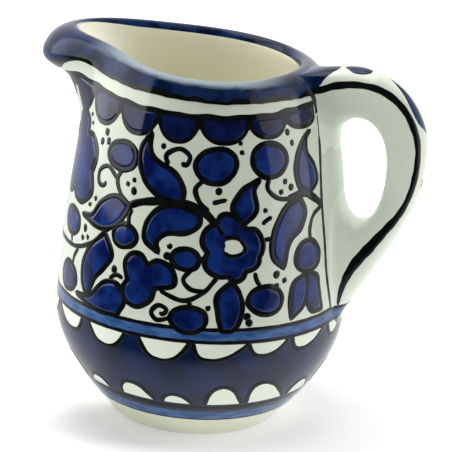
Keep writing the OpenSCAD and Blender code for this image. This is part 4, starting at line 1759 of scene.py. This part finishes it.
@dataclass
class Studio:
    """White sweep, soft boxes and the camera of the picture, in metres and degrees."""

    distance: float = 0.5
    azimuth: float = 17.0
    elevation: float = 19.0
    pivot: Triple = (0.0, 0.0, 0.05)
    aim: Triple = (0.00677, 0.0, 0.05827)
    roll: float = 3.654
    lens: float = 130.97
    clip_start: float = 0.01
    front_level: float = 0.15
    front_gloss: float = 0.03
    sheet_level: float = 1.3
    # Painted shadow: the floor's glow levels left, right and far of an oval about the jug, lower on the
    # left.
    floor_glow: Triple = (0.19, 0.42, 0.50)
    glow_reach: Point = (-0.03, 0.01)
    shade_middle: Triple = (-0.008, -0.018, 0.0)
    shade_oval: Triple = (1.0, 2.2, 1.0)
    shade_reach: Point = (0.027, 0.05)
    shade_turn: float = 25.0
    # Painted dark reflection: the floor looks dark to the glaze in front, and a little darker on the left.
    left_gloss: float = 0.7
    floor_matt: float = 0.62
    shadow_reach: Point = (0.13, 0.24)
    gloss_reach: Point = (-0.12, -0.02)
    behind: Point = (-0.35, 0.25)
    floor_side: float = 3.0
    floor_front: float = -0.2
    floor_back: float = 4.0
    boxes: Sequence[SoftBox] = (
        SoftBox("left_soft_box", (-0.52, -0.16, 0.24), (0.62, 0.62), 2.05),
        SoftBox("right_soft_box", (0.52, 0.02, 0.10), (0.42, 0.32), 0.9),
        SoftBox("top_soft_box", (-0.16, 0.0, 0.72), (0.7, 0.6), 2.5),
        SoftBox("front_fill", (0.35, -0.36, 0.15), (0.35, 0.35), 0.75, mirrored=False),
    )

    def build(self) -> None:
        """Makes the camera, the lights, the floor and the surroundings."""
        bpy.context.scene.view_settings.view_transform = "Standard"
        self._camera()
        self._world()
        self._floor()
        for box in self.boxes:
            box.build()

    def _camera(self) -> None:
        """Camera at the picture's angle."""
        a, e = math.radians(self.azimuth), math.radians(self.elevation)
        back = Vector((math.sin(a) * math.cos(e), -math.cos(a) * math.cos(e), math.sin(e)))
        data = bpy.data.cameras.new("picture_camera")
        data.lens = self.lens
        data.clip_start = self.clip_start
        camera = bpy.data.objects.new("picture_camera", data)
        bpy.context.scene.collection.objects.link(camera)
        camera.location = Vector(self.pivot) + back * self.distance
        look = Vector(self.aim) - camera.location
        turn = look.to_track_quat("-Z", "Y").to_matrix() @ Matrix.Rotation(math.radians(self.roll), 3, "Z")
        camera.rotation_euler = turn.to_euler()
        bpy.context.scene.camera = camera

    def _world(self) -> None:
        """White behind the jug, and soft light from all round."""
        world = bpy.data.worlds.new("studio_world")
        world.use_nodes = True
        bpy.context.scene.world = world
        s = Shader(world.node_tree)
        toward = s.node("ShaderNodeTexCoord", output="Generated")
        behind = s.part(toward, "Y").between(*self.behind)
        camera = s.node("ShaderNodeLightPath", output="Is Camera Ray")
        gloss = s.node("ShaderNodeLightPath", output="Is Glossy Ray")
        front = self.front_level + gloss * (self.front_gloss - self.front_level)
        level = camera + (1 - camera) * (front + (1 - front) * behind)
        light = s.node("ShaderNodeBackground", {}, {"Color": rgb(1, 1, 1), "Strength": level})
        s.node("ShaderNodeOutputWorld", {}, {"Surface": light})

    def _floor(self) -> None:
        """Pale floor that is white to the eye and keeps the jug's shadow, deepened by a painted shadow."""
        mesh = bpy.data.meshes.new("floor")
        side, front, back = self.floor_side, self.floor_front, self.floor_back
        corners = [(-side, front, 0), (side, front, 0), (side, back, 0), (-side, back, 0)]
        mesh.from_pydata(corners, [], [[0, 1, 2, 3]])
        floor = bpy.data.objects.new("floor", mesh)
        bpy.context.scene.collection.objects.link(floor)
        floor.rotation_euler.z = math.radians(self.shade_turn)
        mesh.materials.append(self._sweep())

    def _sweep(self) -> bpy.types.Material:
        """Floor: white glow, a painted shadow in an oval about the jug, a painted dark reflection in front.
        """
        made = bpy.data.materials.new("white_sweep")
        made.use_nodes = True
        s = Shader(made.node_tree)
        diffuse = s.node("ShaderNodeBsdfDiffuse", {}, {"Color": rgb(*[self.floor_matt] * 3)})
        place = s.node("ShaderNodeTexCoord", output="Object")
        right = s.part(place, "X").between(*self.glow_reach)
        # Painted shadow: the glow dips in an oval about the jug, lower on the left.
        left_glow, right_glow, far_glow = (rgb(*[level] * 3) for level in self.floor_glow)
        off = s.vector("MULTIPLY", s.vector("SUBTRACT", place, self.shade_middle), self.shade_oval)
        out = s.vector("LENGTH", off, output="Value")
        light = s.blend(out.between(*self.shade_reach), s.blend(right, left_glow, right_glow), far_glow)
        glow = s.node("ShaderNodeEmission", {}, {"Color": light})
        both = s.node("ShaderNodeAddShader", {}, {0: diffuse, 1: glow})
        far = s.vector("LENGTH", place, output="Value").between(*self.shadow_reach)
        gloss = s.node("ShaderNodeLightPath", output="Is Glossy Ray")
        level = self.sheet_level + gloss * (1 - self.sheet_level)
        white = s.node("ShaderNodeEmission", {}, {"Strength": level})
        sheet = s.node("ShaderNodeMixShader", {}, {0: far, 1: both, 2: white})
        # Painted dark reflection: glossy rays see a dark floor in front, and a partly dark one on the left.
        near = s.part(s.node("ShaderNodeNewGeometry", output="Position"), "Y").between(*self.gloss_reach)
        lit = self.left_gloss + right * (1 - self.left_gloss)
        dark = s.node("ShaderNodeEmission", {}, {"Strength": self.front_gloss})
        seen = s.node("ShaderNodeMixShader", {}, {0: gloss * (1 - near * lit), 1: sheet, 2: dark})
        s.node("ShaderNodeOutputMaterial", {}, {"Surface": seen})
        return made


def main() -> None:
    """Builds the jug, its ornament and the studio."""
    logging.basicConfig(level=logging.INFO, format="%(name)s: %(message)s")
    skin = JugSkin(JugForm.from_frame())
    bar = HandleSkin(skin)
    GlazedBody(skin).build()
    PulledHandle(bar).build()
    Ornament(skin).build()
    bands = PaintedBands(skin)
    bands.build()
    HandlePaint(bar, bands).build()
    Studio().build()


if __name__ == "__main__":
    main()
